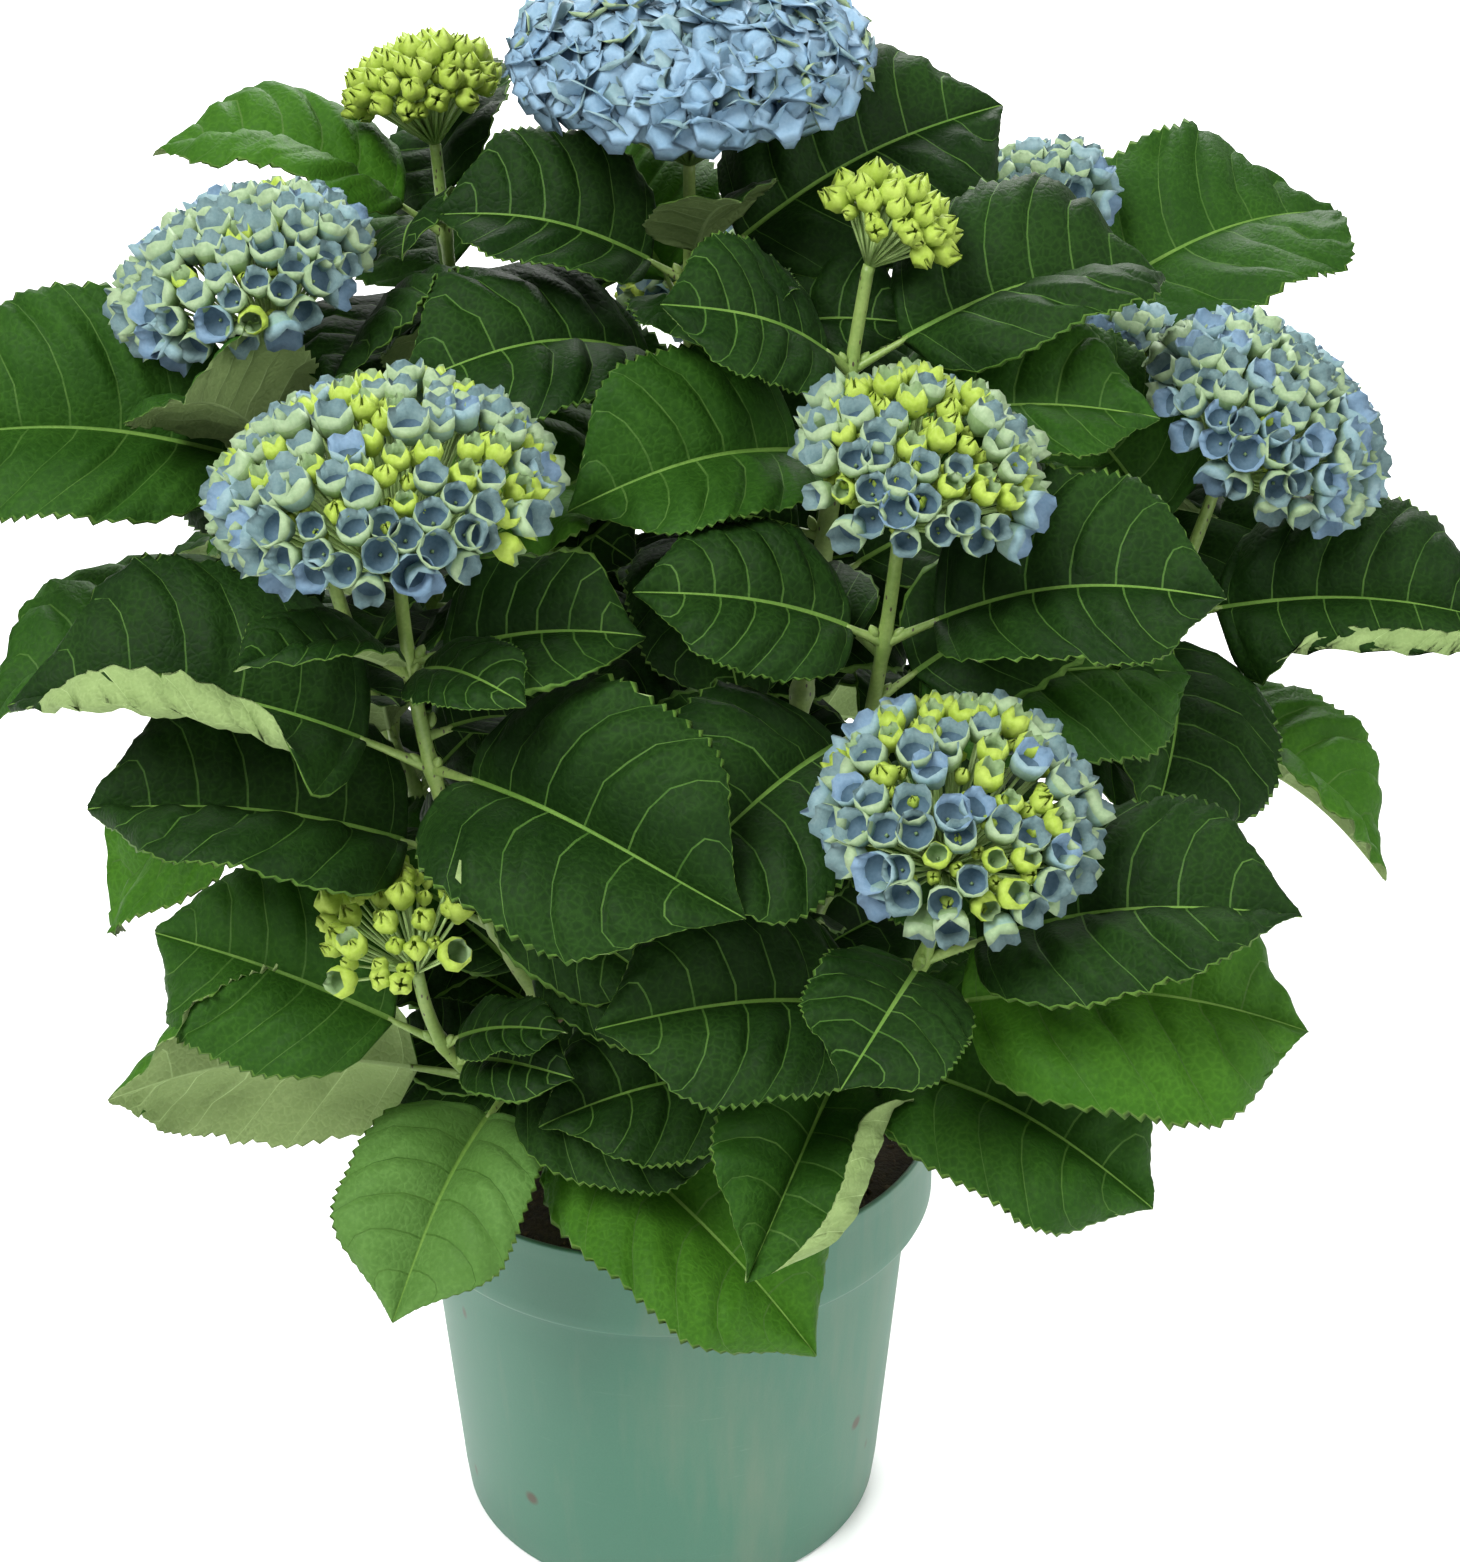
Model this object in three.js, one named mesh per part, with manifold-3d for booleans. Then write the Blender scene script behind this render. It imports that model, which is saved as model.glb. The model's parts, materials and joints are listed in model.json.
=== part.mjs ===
// A mophead hydrangea in a nursery pot, in millimetres with +Z up.
// The origin is the middle of the pot's flat underside. Azimuths are in degrees from +X towards +Y.
import * as THREE from "three";
import { mergeVertices } from "three/addons/utils/BufferGeometryUtils.js";
import Module from "manifold-3d";

const wasm = await Module();
wasm.setup();

// ---------------------------------------------------------------- driving dimensions, mm

const SEAT = 0.3; // air between a piece and the piece that carries it

const POT = {
  footRadius: 92,
  footChamfer: 3,
  bodyRadius: 104.7,
  bodyHeight: 149.5,
  shoulder: 6.5,
  rimRadius: 115,
  height: 193,
  wall: 2.2,
  floor: 3,
  lip: 1.2,
  sides: 36,
};

const MIX = { edgeHeight: 181, crownHeight: 191, flatRadius: 34 };

const STUB = { footRadius: 31, topRadius: 28, topHeight: 206, sides: 18 };

const CANE = {
  footRadius: 4.5,
  nodeRadius: 3.7,
  tipRadius: 2.3,
  sides: 6,
  shootSides: 4,
  stepLength: 28,
  rise: 0.75,
  spread: 1.5,
  firstReach: 0.36,
  hang: 0.45,
  lastReach: 0.36,
  underHead: 0.3,
  belowPairs: 16,
};

const LEAF = {
  width: 0.8,
  arch: 0.1,
  fold: 14,
  petiole: 0.16,
  stalkWidth: 2.6,
  thickness: 1.6,
  baseWidth: 5,
  tipWidth: 1.4,
  faceOut: 38,
  faceReach: 60,
  faceFrom: 80,
  clear: 2.2,
  rootClear: 0.25,
};

// Where a blade is cut into rows along its midrib, from the petiole to the tip.
const LEAF_ROWS = [0, 0.16, 0.4, 0.68, 1];

const HEAD = {
  rise: 0.56,
  drop: 0.3,
  core: 0.85,
  columns: 12,
  rings: 8,
};

// Each turn is heading change, pitch change and scale that a leaf may take to keep clear.
const TURNS = [
  [0, 0, 1],
  [0, 7, 1],
  [0, -7, 1],
  [11, 0, 1],
  [-11, 0, 1],
  [8, 13, 0.96],
  [-8, -13, 0.96],
  [8, -13, 0.96],
  [-8, 13, 0.96],
  [20, 0, 0.92],
  [-20, 0, 0.92],
  [0, 20, 0.9],
  [0, -20, 0.9],
  [18, 10, 0.85],
  [-18, -10, 0.85],
  [-18, 18, 0.8],
  [18, -18, 0.8],
];

// ---------------------------------------------------------------- the plant's plan

// One leaf: heading and pitch of its midrib in degrees, length with petiole in mm, extra roll.
function leaf(heading, pitch, span, roll = 0, width = LEAF.width) {
  return { heading, pitch, span, roll, width };
}

// Two leaves that face each other across a node, a given drop below the flower head.
function pair(drop, first, second) {
  return { drop, leaves: second ? [first, second] : [first] };
}

// head: centre of the flower head; lean: azimuth and tilt of its face; foot: azimuth and radius.
const SHOOTS = [
  {
    name: "crown",
    head: [12, 0, 637],
    width: 136,
    lean: [270, 6],
    foot: [95, 9],
    pairs: [
      pair(44, leaf(182, 18, 100), leaf(24, 24, 142)),
      pair(58, leaf(282, 10, 92), leaf(118, 20, 115)),
      pair(78, leaf(214, 18, 124), leaf(330, 6, 100)),
      pair(108, leaf(228, -8, 125), leaf(48, 16, 128)),
      pair(140, leaf(300, -14, 120), leaf(135, 8, 120)),
      pair(175, leaf(232, -16, 120), leaf(20, 4, 120)),
    ],
  },
  {
    name: "top_left",
    head: [-90, 60, 610],
    width: 66,
    lean: [150, 12],
    foot: [205, 9],
    pairs: [
      pair(34, leaf(184, 28, 118, 10), leaf(99, 34, 108)),
      pair(62, leaf(240, 2, 112), leaf(95, 6, 125)),
      pair(100, leaf(265, 58, 90), leaf(120, -8, 125)),
      pair(150, leaf(80, 2, 125), leaf(175, -6, 120)),
    ],
  },
  {
    name: "left",
    head: [-148, -30, 564],
    width: 98,
    lean: [200, 18],
    foot: [180, 22],
    pairs: [
      pair(50, leaf(183, 16, 145, 20), leaf(249, 35, 100, -15)),
      pair(82, leaf(276, 56, 100), leaf(110, 8, 120)),
      pair(122, leaf(204, 4, 145), leaf(140, -12, 125)),
      pair(162, leaf(188, -18, 155, 10)),
    ],
  },
  {
    name: "front_left",
    head: [-86, -150, 527],
    width: 115,
    lean: [250, 10],
    foot: [247, 22],
    pairs: [
      pair(36, leaf(228, 20, 78, 0, 0.6), leaf(306, 14, 72, 0, 0.6)),
      pair(76, leaf(184, 16, 150), leaf(318, -4, 140)),
      pair(122, leaf(198, 0, 140)),
      pair(165, leaf(140, 0, 110), leaf(345, -12, 110)),
    ],
  },
  {
    name: "front_right",
    head: [90, -130, 528],
    width: 88,
    lean: [300, 22],
    foot: [318, 22],
    pairs: [
      pair(46, leaf(196, 18, 95), leaf(348, 16, 122)),
      pair(84, leaf(232, -6, 128), leaf(12, 8, 125)),
      pair(130, leaf(165, 0, 110), leaf(285, -12, 110)),
    ],
  },
  {
    name: "right",
    head: [225, -30, 509],
    width: 98,
    lean: [330, 34],
    foot: [350, 22],
    pairs: [
      pair(38, leaf(160, 45, 112, 30)),
      pair(62, leaf(262, -12, 118), leaf(348, 8, 134, -36)),
      pair(115, leaf(332, -12, 130), leaf(70, -8, 115)),
    ],
  },
  {
    name: "right_back",
    head: [183, 55, 505],
    width: 72,
    lean: [20, 22],
    foot: [20, 22],
    pairs: [
      pair(54, leaf(150, 22, 100), leaf(300, 10, 90)),
      pair(85, leaf(240, 10, 110), leaf(18, 26, 150, -20)),
      pair(130, leaf(48, -8, 135), leaf(330, -22, 105)),
    ],
  },
  {
    name: "low_right",
    head: [102, -200, 433],
    width: 95,
    lean: [285, 26],
    foot: [284, 22],
    pairs: [
      pair(44, leaf(250, 0, 85), leaf(346, 16, 132)),
      pair(80, leaf(206, 14, 118), leaf(354, 4, 150)),
      pair(125, leaf(248, -14, 110), leaf(330, -8, 128)),
      pair(165, leaf(205, 8, 110), leaf(0, -8, 135)),
    ],
  },
  {
    name: "low_left",
    head: [-90, -152, 362],
    width: 72,
    lean: [235, 22],
    foot: [213, 22],
    pairs: [
      pair(40, leaf(165, 14, 120), leaf(330, 24, 60, 0, 0.55)),
      pair(76, leaf(192, 6, 140, -110), leaf(345, 14, 118)),
      pair(104, leaf(248, -22, 108)),
      pair(128, leaf(320, -18, 158, 0, 0.68)),
    ],
  },
  {
    name: "inner_right",
    head: [83, -45, 588],
    width: 56,
    lean: [10, 25],
    foot: [325, 9],
    pairs: [
      pair(38, leaf(14, 16, 126), leaf(215, 18, 90)),
      pair(70, leaf(350, 12, 118), leaf(190, 2, 120)),
    ],
  },
  {
    name: "back_right",
    head: [150, 122, 552],
    width: 74,
    lean: [150, 12],
    foot: [52, 22],
    pairs: [
      pair(36, leaf(24, 19, 156, -30)),
      pair(62, leaf(200, 20, 110)),
      pair(90, leaf(110, 12, 125)),
      pair(130, leaf(60, -4, 130), leaf(10, -10, 130)),
    ],
  },
  {
    name: "back",
    head: [30, 175, 495],
    width: 105,
    lean: [90, 28],
    foot: [84, 22],
    pairs: [
      pair(50, leaf(20, 14, 125), leaf(160, 16, 125)),
      pair(90, leaf(80, 4, 130), leaf(255, 20, 100)),
      pair(135, leaf(45, -10, 130), leaf(200, -4, 110)),
      pair(175, leaf(150, -12, 115), leaf(320, -4, 100)),
    ],
  },
  {
    name: "back_left",
    head: [-125, 150, 445],
    width: 95,
    lean: [135, 30],
    foot: [148, 22],
    pairs: [
      pair(50, leaf(200, 14, 130), leaf(60, 12, 120)),
      pair(92, leaf(120, 0, 135), leaf(255, 10, 110)),
      pair(135, leaf(170, -14, 130), leaf(30, -8, 110)),
      pair(180, leaf(105, -8, 130), leaf(215, -14, 125)),
    ],
  },
  {
    name: "back_low",
    head: [10, 190, 330],
    width: 0,
    lean: [95, 50],
    foot: [116, 22],
    pairs: [
      pair(8, leaf(60, 0, 135), leaf(130, -6, 135)),
      pair(50, leaf(15, -10, 140), leaf(175, -10, 140)),
    ],
  },
];

// ---------------------------------------------------------------- small helpers

const UP = new THREE.Vector3(0, 0, 1);
const ALONG = new THREE.Vector3(0, 1, 0); // the axis of a cylinder geometry
const radians = THREE.MathUtils.degToRad;

// The unit vector at an azimuth and a pitch above level.
function direction(azimuth, pitch) {
  const level = Math.cos(radians(pitch));
  return new THREE.Vector3(
    level * Math.cos(radians(azimuth)),
    level * Math.sin(radians(azimuth)),
    Math.sin(radians(pitch)),
  );
}

// from + step * length, as a new vector.
function along(from, step, length) {
  return from.clone().addScaledVector(step, length);
}

// Moves every corner of a geometry to the place that a function of its old place gives.
function warp(geometry, place) {
  const corners = geometry.attributes.position;
  const point = new THREE.Vector3();
  for (let i = 0; i < corners.count; i += 1) {
    point.fromBufferAttribute(corners, i);
    const moved = place(point.clone());
    corners.setXYZ(i, moved.x, moved.y, moved.z);
  }
  return geometry;
}

// A closed geometry as a solid that can be joined and cut.
function solidOf(geometry) {
  const bare = geometry.clone();
  bare.deleteAttribute("normal");
  bare.deleteAttribute("uv");
  const merged = mergeVertices(bare, 1e-4);
  const mesh = new wasm.Mesh({
    numProp: 3,
    vertProperties: new Float32Array(merged.attributes.position.array),
    triVerts: new Uint32Array(merged.index.array),
  });
  return new wasm.Manifold(mesh);
}

// Joins solids into one and keeps its largest body.
function fuse(solids) {
  let whole = solids[0];
  for (const solid of solids.slice(1)) {
    whole = whole.add(solid);
  }
  const bodies = whole.decompose();
  bodies.sort((a, b) => b.volume() - a.volume());
  return bodies[0];
}

function geometryOf(solid) {
  const mesh = solid.getMesh();
  const geometry = new THREE.BufferGeometry();
  geometry.setAttribute("position", new THREE.BufferAttribute(mesh.vertProperties, 3));
  geometry.setIndex(new THREE.BufferAttribute(mesh.triVerts, 1));
  geometry.computeVertexNormals();
  return geometry;
}

function named(name, geometry, material) {
  const mesh = new THREE.Mesh(geometry, material);
  mesh.name = name;
  return mesh;
}

// A closed body turned about the Z axis from a profile of [radius, height] points.
function turned(profile, sides) {
  const points = profile.map(([radius, height]) => new THREE.Vector2(radius, height));
  const lathe = new THREE.LatheGeometry(points, sides);
  return lathe.rotateX(Math.PI / 2);
}

// ---------------------------------------------------------------- pot and potting mix

function potMaterial() {
  return new THREE.MeshStandardMaterial({ color: 0x4f8f7c, roughness: 0.55, metalness: 0 });
}

function mixMaterial() {
  return new THREE.MeshStandardMaterial({ color: 0x2b1d14, roughness: 1, metalness: 0 });
}

// An upright nursery pot: a tapering body, a slanted shoulder and a deep collar.
function potGeometry() {
  const shoulderTop = POT.bodyHeight + POT.shoulder;
  const outside = [
    [0, 0],
    [POT.footRadius, 0],
    [POT.footRadius + POT.footChamfer, POT.footChamfer * 2],
    [POT.bodyRadius, POT.bodyHeight],
    [POT.rimRadius - 1, shoulderTop - 1],
    [POT.rimRadius, shoulderTop + 2],
    [POT.rimRadius, POT.height - POT.lip],
    [POT.rimRadius - POT.lip / 2, POT.height],
  ];
  const inside = [
    [POT.rimRadius - POT.wall, POT.height],
    [POT.rimRadius - POT.wall, shoulderTop + 1],
    [POT.bodyRadius - POT.wall, POT.bodyHeight - 2],
    [POT.footRadius, POT.floor],
    [0, POT.floor],
  ];
  return turned([...outside, ...inside], POT.sides);
}

// The potting mix fills the pot from its floor and rises a little round the stems.
function mixGeometry() {
  const gap = POT.wall + SEAT + 0.6;
  const profile = [
    [0, POT.floor + SEAT],
    [POT.footRadius - 1.2, POT.floor + SEAT],
    [POT.bodyRadius - gap, POT.bodyHeight - 3],
    [POT.rimRadius - gap, POT.bodyHeight + POT.shoulder + 4],
    [POT.rimRadius - gap, MIX.edgeHeight],
    [MIX.flatRadius * 2, (MIX.edgeHeight + MIX.crownHeight * 2) / 3],
    [MIX.flatRadius, MIX.crownHeight],
    [0, MIX.crownHeight],
  ];
  return turned(profile, POT.sides);
}

// ---------------------------------------------------------------- stems

function woodMaterial() {
  return new THREE.MeshStandardMaterial({ color: 0x7a6242, roughness: 0.85, metalness: 0 });
}

function caneMaterial() {
  return new THREE.MeshStandardMaterial({ color: 0x86984e, roughness: 0.7, metalness: 0 });
}

// The short woody stool that all the canes spring from.
function stubGeometry() {
  const foot = MIX.crownHeight + SEAT;
  const profile = [
    [0, foot],
    [STUB.footRadius, foot],
    [STUB.footRadius + 1, foot + 6],
    [STUB.topRadius, STUB.topHeight],
    [0, STUB.topHeight],
  ];
  return turned(profile, STUB.sides);
}

// The line of one shoot, from its foot on the stool to the underside of its flower head.
class ShootLine {
  constructor(plan) {
    this.plan = plan;
    this.head = new THREE.Vector3(...plan.head);
    this.face = direction(plan.lean[0], 90 - plan.lean[1]);
    this.top = along(this.head, this.face, -CANE.underHead * plan.width);
    const foot = direction(plan.foot[0], 0).multiplyScalar(plan.foot[1]);
    foot.z = STUB.topHeight;
    const reach = this.top.distanceTo(foot);
    const out = new THREE.Vector3(this.head.x - foot.x, this.head.y - foot.y, 0);
    const leaving = out.multiplyScalar(CANE.spread / reach);
    leaving.z = CANE.rise;
    leaving.normalize();
    const arriving = this.face.clone().multiplyScalar(CANE.hang).addScaledVector(UP, CANE.rise);
    arriving.normalize();
    this.curve = new THREE.CubicBezierCurve3(
      foot,
      along(foot, leaving, CANE.firstReach * reach),
      along(this.top, arriving, -CANE.lastReach * reach),
      this.top,
    );
    this.points = this.curve.getPoints(40);
    this.runs = [0];
    for (let i = 1; i < this.points.length; i += 1) {
      this.runs.push(this.runs[i - 1] + this.points[i].distanceTo(this.points[i - 1]));
    }
    this.length = this.runs[this.runs.length - 1];
    this.split = this.length - plan.pairs[plan.pairs.length - 1].drop - CANE.belowPairs;
  }

  // The point a given run along the line from its foot.
  at(run) {
    const wanted = Math.min(Math.max(run, 0), this.length);
    let i = 1;
    while (i < this.runs.length - 1 && this.runs[i] < wanted) {
      i += 1;
    }
    const share = (wanted - this.runs[i - 1]) / (this.runs[i] - this.runs[i - 1]);
    return this.points[i - 1].clone().lerp(this.points[i], share);
  }

  heading(run) {
    return this.at(run + 2).sub(this.at(run - 2)).normalize();
  }

  // The shoot thins evenly from its foot to its head.
  radius(run) {
    const share = run / this.length;
    if (run < this.split) {
      return THREE.MathUtils.lerp(CANE.footRadius, CANE.nodeRadius, run / this.split);
    }
    return THREE.MathUtils.lerp(CANE.nodeRadius, CANE.tipRadius, share);
  }
}

// A tapering tube along a shoot's line between two runs, with flat ends across it.
function limbGeometry(line, from, to, sides) {
  const steps = Math.max(2, Math.round((to - from) / CANE.stepLength));
  const tube = new THREE.CylinderGeometry(1, 1, 1, sides, steps, false);
  return warp(tube, (point) => {
    const run = from + (point.y + 0.5) * (to - from);
    const ahead = line.heading(run);
    const side = new THREE.Vector3(1, 0, 0).cross(ahead).normalize();
    const front = ahead.clone().cross(side);
    const radius = line.radius(run);
    return line.at(run).addScaledVector(side, -point.x * radius).addScaledVector(front, point.z * radius);
  });
}

// A cane starts on the stool's flat top and ends where it enters its leaves.
function caneSolid(line) {
  const cane = solidOf(limbGeometry(line, 0, line.split - SEAT / 2, CANE.sides));
  const size = STUB.topHeight;
  const below = new THREE.BoxGeometry(size, size, size);
  below.translate(0, 0, STUB.topHeight + SEAT - size / 2);
  return cane.subtract(solidOf(below));
}

// ---------------------------------------------------------------- leaves

// Half the blade's width at a share of its length, as a share of the widest.
function bladeWidth(share) {
  const rise = 0.5;
  const fall = 0.74;
  const widest = rise / (rise + fall);
  const peak = widest ** rise * (1 - widest) ** fall;
  return (share ** rise * (1 - share) ** fall) / peak;
}

// One leaf set at a node: gives the point of its blade at a share along and a share across.
class Blade {
  constructor(node, plan, turn) {
    const [heading, pitch, scale] = turn;
    this.node = node;
    this.span = plan.span * scale;
    this.length = this.span * (1 - LEAF.petiole);
    this.halfWidth = (plan.width * this.length) / 2;
    this.ahead = direction(plan.heading + heading, plan.pitch + pitch);
    const level = this.ahead.clone().cross(UP).normalize();
    const over = level.clone().cross(this.ahead);
    const middle = along(node, this.ahead, this.span / 2);
    const out = new THREE.Vector3(middle.x, middle.y - LEAF.faceFrom, 0);
    out.divideScalar(Math.max(out.length(), LEAF.faceReach));
    const roll = radians(plan.roll - LEAF.faceOut * out.dot(level));
    this.side = along(level.clone().multiplyScalar(Math.cos(roll)), over, Math.sin(roll));
    this.over = along(over.clone().multiplyScalar(Math.cos(roll)), level, -Math.sin(roll));
  }

  // The midrib at a share of the whole leaf, petiole included.
  midrib(share) {
    const point = along(this.node, this.ahead, this.span * share);
    return point.addScaledVector(this.over, this.span * LEAF.arch * Math.sin(Math.PI * share));
  }

  // The direction square to the midrib on the leaf's upper side.
  facing(share) {
    const slope = LEAF.arch * Math.PI * Math.cos(Math.PI * share);
    const ahead = along(this.ahead, this.over, slope).normalize();
    return this.side.clone().cross(ahead);
  }

  point(share, across, half = this.halfWidth * bladeWidth(share)) {
    const whole = LEAF.petiole + (1 - LEAF.petiole) * share;
    const away = Math.abs(across) * half;
    const fold = radians(LEAF.fold);
    return this.midrib(whole)
      .addScaledVector(this.side, Math.sign(across) * away * Math.cos(fold))
      .addScaledVector(this.facing(whole), away * Math.sin(fold));
  }

  // Corners of the blade, row by row from its base to its tip.
  grid(rows, columns) {
    return rows.map((share) => columns.map((across) => this.point(share, across)));
  }
}

// ---------------------------------------------------------------- keeping clear

// The sides and diagonals of a grid of corners, as pairs of points.
function gridEdges(grid) {
  const edges = [];
  for (let i = 0; i < grid.length; i += 1) {
    for (let j = 0; j < grid[i].length; j += 1) {
      if (i + 1 < grid.length) {
        edges.push([grid[i][j], grid[i + 1][j]]);
      }
      if (j + 1 < grid[i].length) {
        edges.push([grid[i][j], grid[i][j + 1]]);
      }
      if (i + 1 < grid.length && j + 1 < grid[i].length) {
        edges.push([grid[i][j], grid[i + 1][j + 1]]);
      }
    }
  }
  return edges;
}

function gridFaces(grid) {
  const faces = [];
  for (let i = 0; i + 1 < grid.length; i += 1) {
    for (let j = 0; j + 1 < grid[i].length; j += 1) {
      faces.push([grid[i][j], grid[i][j + 1], grid[i + 1][j + 1]]);
      faces.push([grid[i][j], grid[i + 1][j + 1], grid[i + 1][j]]);
    }
  }
  return faces;
}

// Whether the line from one point to another passes through a triangle.
function pierces([from, to], [a, b, c]) {
  const run = to.clone().sub(from);
  const first = b.clone().sub(a);
  const second = c.clone().sub(a);
  const normal = run.clone().cross(second);
  const facing = first.dot(normal);
  if (Math.abs(facing) < 1e-9) {
    return false;
  }
  const offset = from.clone().sub(a);
  const u = offset.dot(normal) / facing;
  const turnedOffset = offset.clone().cross(first);
  const v = run.dot(turnedOffset) / facing;
  const t = second.dot(turnedOffset) / facing;
  return u >= 0 && v >= 0 && u + v <= 1 && t >= 0 && t <= 1;
}

// Whether any of some points comes closer to the line between two points than a distance.
function comesNear(points, [from, to], distance) {
  const segment = new THREE.Line3(from, to);
  const nearest = new THREE.Vector3();
  return points.some((point) => {
    segment.closestPointToPoint(point, true, nearest);
    return nearest.distanceTo(point) < distance;
  });
}

// A leaf's coarse form in three layers, for keeping it clear of everything else.
class LeafShape {
  constructor(blade) {
    this.blade = blade;
    const rows = LEAF_ROWS;
    const columns = [-1, 0, 1];
    this.grid = blade.grid(rows, columns);
    this.faces = gridFaces(this.grid);
    this.edges = [];
    for (const lift of [-LEAF.clear, 0, LEAF.clear]) {
      const layer = this.grid.map((row, i) => {
        const whole = LEAF.petiole + (1 - LEAF.petiole) * rows[i];
        return row.map((point) => along(point, blade.facing(whole), lift));
      });
      this.edges.push(...gridEdges(layer));
    }
    this.stalk = [blade.node, this.grid[0][1]];
    this.edges.push([along(blade.node, blade.ahead, LEAF.petiole * 0.3 * blade.span), this.grid[0][1]]);
    this.samples = blade.grid([0, 0.12, 0.25, 0.4, 0.55, 0.7, 0.85, 1], [-1, -0.5, 0, 0.5, 1]).flat();
    this.sphere = new THREE.Sphere().setFromPoints([...this.samples, blade.node]);
  }

  touchesLeaf(other) {
    if (this.sphere.center.distanceTo(other.sphere.center) > this.sphere.radius + other.sphere.radius) {
      return false;
    }
    const through = (edges, faces) => edges.some((edge) => faces.some((face) => pierces(edge, face)));
    return through(this.edges, other.faces)
      || through(other.edges, this.faces)
      || comesNear(this.samples, other.stalk, LEAF.stalkWidth + LEAF.clear)
      || comesNear(other.samples, this.stalk, LEAF.stalkWidth + LEAF.clear);
  }

  touchesLine(line, own) {
    const least = own ? this.blade.span * LEAF.rootClear : 0;
    for (let i = 1; i < line.points.length; i += 1) {
      const segment = [line.points[i - 1], line.points[i]];
      const middle = segment[0].clone().lerp(segment[1], 0.5);
      if (middle.distanceTo(this.sphere.center) > this.sphere.radius + 20) {
        continue;
      }
      if (own && middle.distanceTo(this.blade.node) < least) {
        continue;
      }
      if (this.faces.some((face) => pierces(segment, face))) {
        return true;
      }
      if (comesNear(this.samples, segment, CANE.footRadius + LEAF.clear)) {
        return true;
      }
    }
    return false;
  }

  touchesHead(line) {
    const radius = line.plan.width / 2 + LEAF.clear;
    if (line.plan.width === 0) {
      return false;
    }
    return this.samples.some((sample) => {
      const offset = sample.clone().sub(line.head);
      const height = offset.dot(line.face);
      const level = offset.addScaledVector(line.face, -height).length() / radius;
      const upright = height / (radius * (height > 0 ? HEAD.rise : HEAD.drop) + LEAF.clear);
      return level * level + upright * upright < 1;
    });
  }

  touchesPot() {
    return this.samples.some((sample) => {
      const radius = Math.hypot(sample.x, sample.y);
      return radius < POT.rimRadius + 2 * LEAF.clear && sample.z < POT.height + 2 * LEAF.clear;
    });
  }
}

// Sets every leaf of the plan in turn. One that would touch a limb, a head, the pot or an earlier
// leaf turns aside, and is left out when no turn clears it.
function growLeaves(lines) {
  const placed = [];
  for (const line of lines) {
    for (const { drop, leaves } of line.plan.pairs) {
      const node = line.at(line.length - drop);
      for (const plan of leaves) {
        for (const turn of TURNS) {
          const shape = new LeafShape(new Blade(node, plan, turn));
          const blocked = shape.touchesPot()
            || lines.some((other) => shape.touchesLine(other, other === line) || shape.touchesHead(other))
            || placed.some((other) => shape.touchesLeaf(other.shape));
          if (!blocked) {
            placed.push({ line, shape, drop });
            break;
          }
        }
      }
    }
  }
  return placed;
}

function leafMaterial() {
  return new THREE.MeshStandardMaterial({ color: 0x2f6a24, roughness: 0.6, metalness: 0 });
}

// A leaf as one thin closed slab: a narrow stalk from inside the shoot, then the blade.
function leafSolid(blade) {
  const last = LEAF_ROWS.length;
  const slab = new THREE.BoxGeometry(2, 1, 1, 2, last, 1);
  return solidOf(warp(slab, (point) => {
    const row = Math.round((point.y + 0.5) * last) - 1;
    if (row < 0) {
      return along(blade.node, blade.side, (point.x * LEAF.stalkWidth) / 2)
        .addScaledVector(blade.over, point.z * LEAF.stalkWidth);
    }
    const share = LEAF_ROWS[row];
    const ends = { 0: LEAF.baseWidth / 2, [last - 1]: LEAF.tipWidth / 2 };
    const half = ends[row] ?? blade.halfWidth * bladeWidth(share);
    const thickness = row === 0 ? LEAF.stalkWidth : LEAF.thickness;
    const whole = LEAF.petiole + (1 - LEAF.petiole) * share;
    return blade.point(share, point.x, half).addScaledVector(blade.facing(whole), point.z * thickness);
  }));
}

// ---------------------------------------------------------------- flower heads

// A flower head: a low dome, flatter underneath, with clusters of florets that stand out of it.
function headSolid(line) {
  const radius = line.plan.width / 2;
  const dome = new THREE.SphereGeometry(1, HEAD.columns, HEAD.rings);
  dome.rotateX(Math.PI / 2);
  const turn = new THREE.Quaternion().setFromUnitVectors(UP, line.face);
  return solidOf(warp(dome, (point) => {
    const ring = Math.round((Math.acos(THREE.MathUtils.clamp(point.z, -1, 1)) / Math.PI) * HEAD.rings);
    const column = Math.round((Math.atan2(point.y, point.x) / (2 * Math.PI)) * HEAD.columns);
    const shifted = (column + Math.floor(ring / 2)) % 2 === 0;
    const stands = ring % 2 === 1 && shifted;
    const rise = point.z > 0 ? HEAD.rise : HEAD.drop;
    return new THREE.Vector3(point.x, point.y, point.z * rise)
      .multiplyScalar(radius * (stands ? 1 : HEAD.core))
      .applyQuaternion(turn)
      .add(line.head);
  }));
}

// The neck carries the head on the end of the shoot.
function neckSolid(line) {
  const foot = along(line.top, line.face, -1);
  const axis = line.head.clone().sub(foot);
  const neck = new THREE.CylinderGeometry(CANE.tipRadius * 2, CANE.tipRadius, axis.length(), CANE.shootSides);
  neck.applyQuaternion(new THREE.Quaternion().setFromUnitVectors(ALONG, axis.clone().normalize()));
  neck.translate(...foot.lerp(line.head, 0.5).toArray());
  return solidOf(neck);
}

// ---------------------------------------------------------------- assembly

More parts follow.
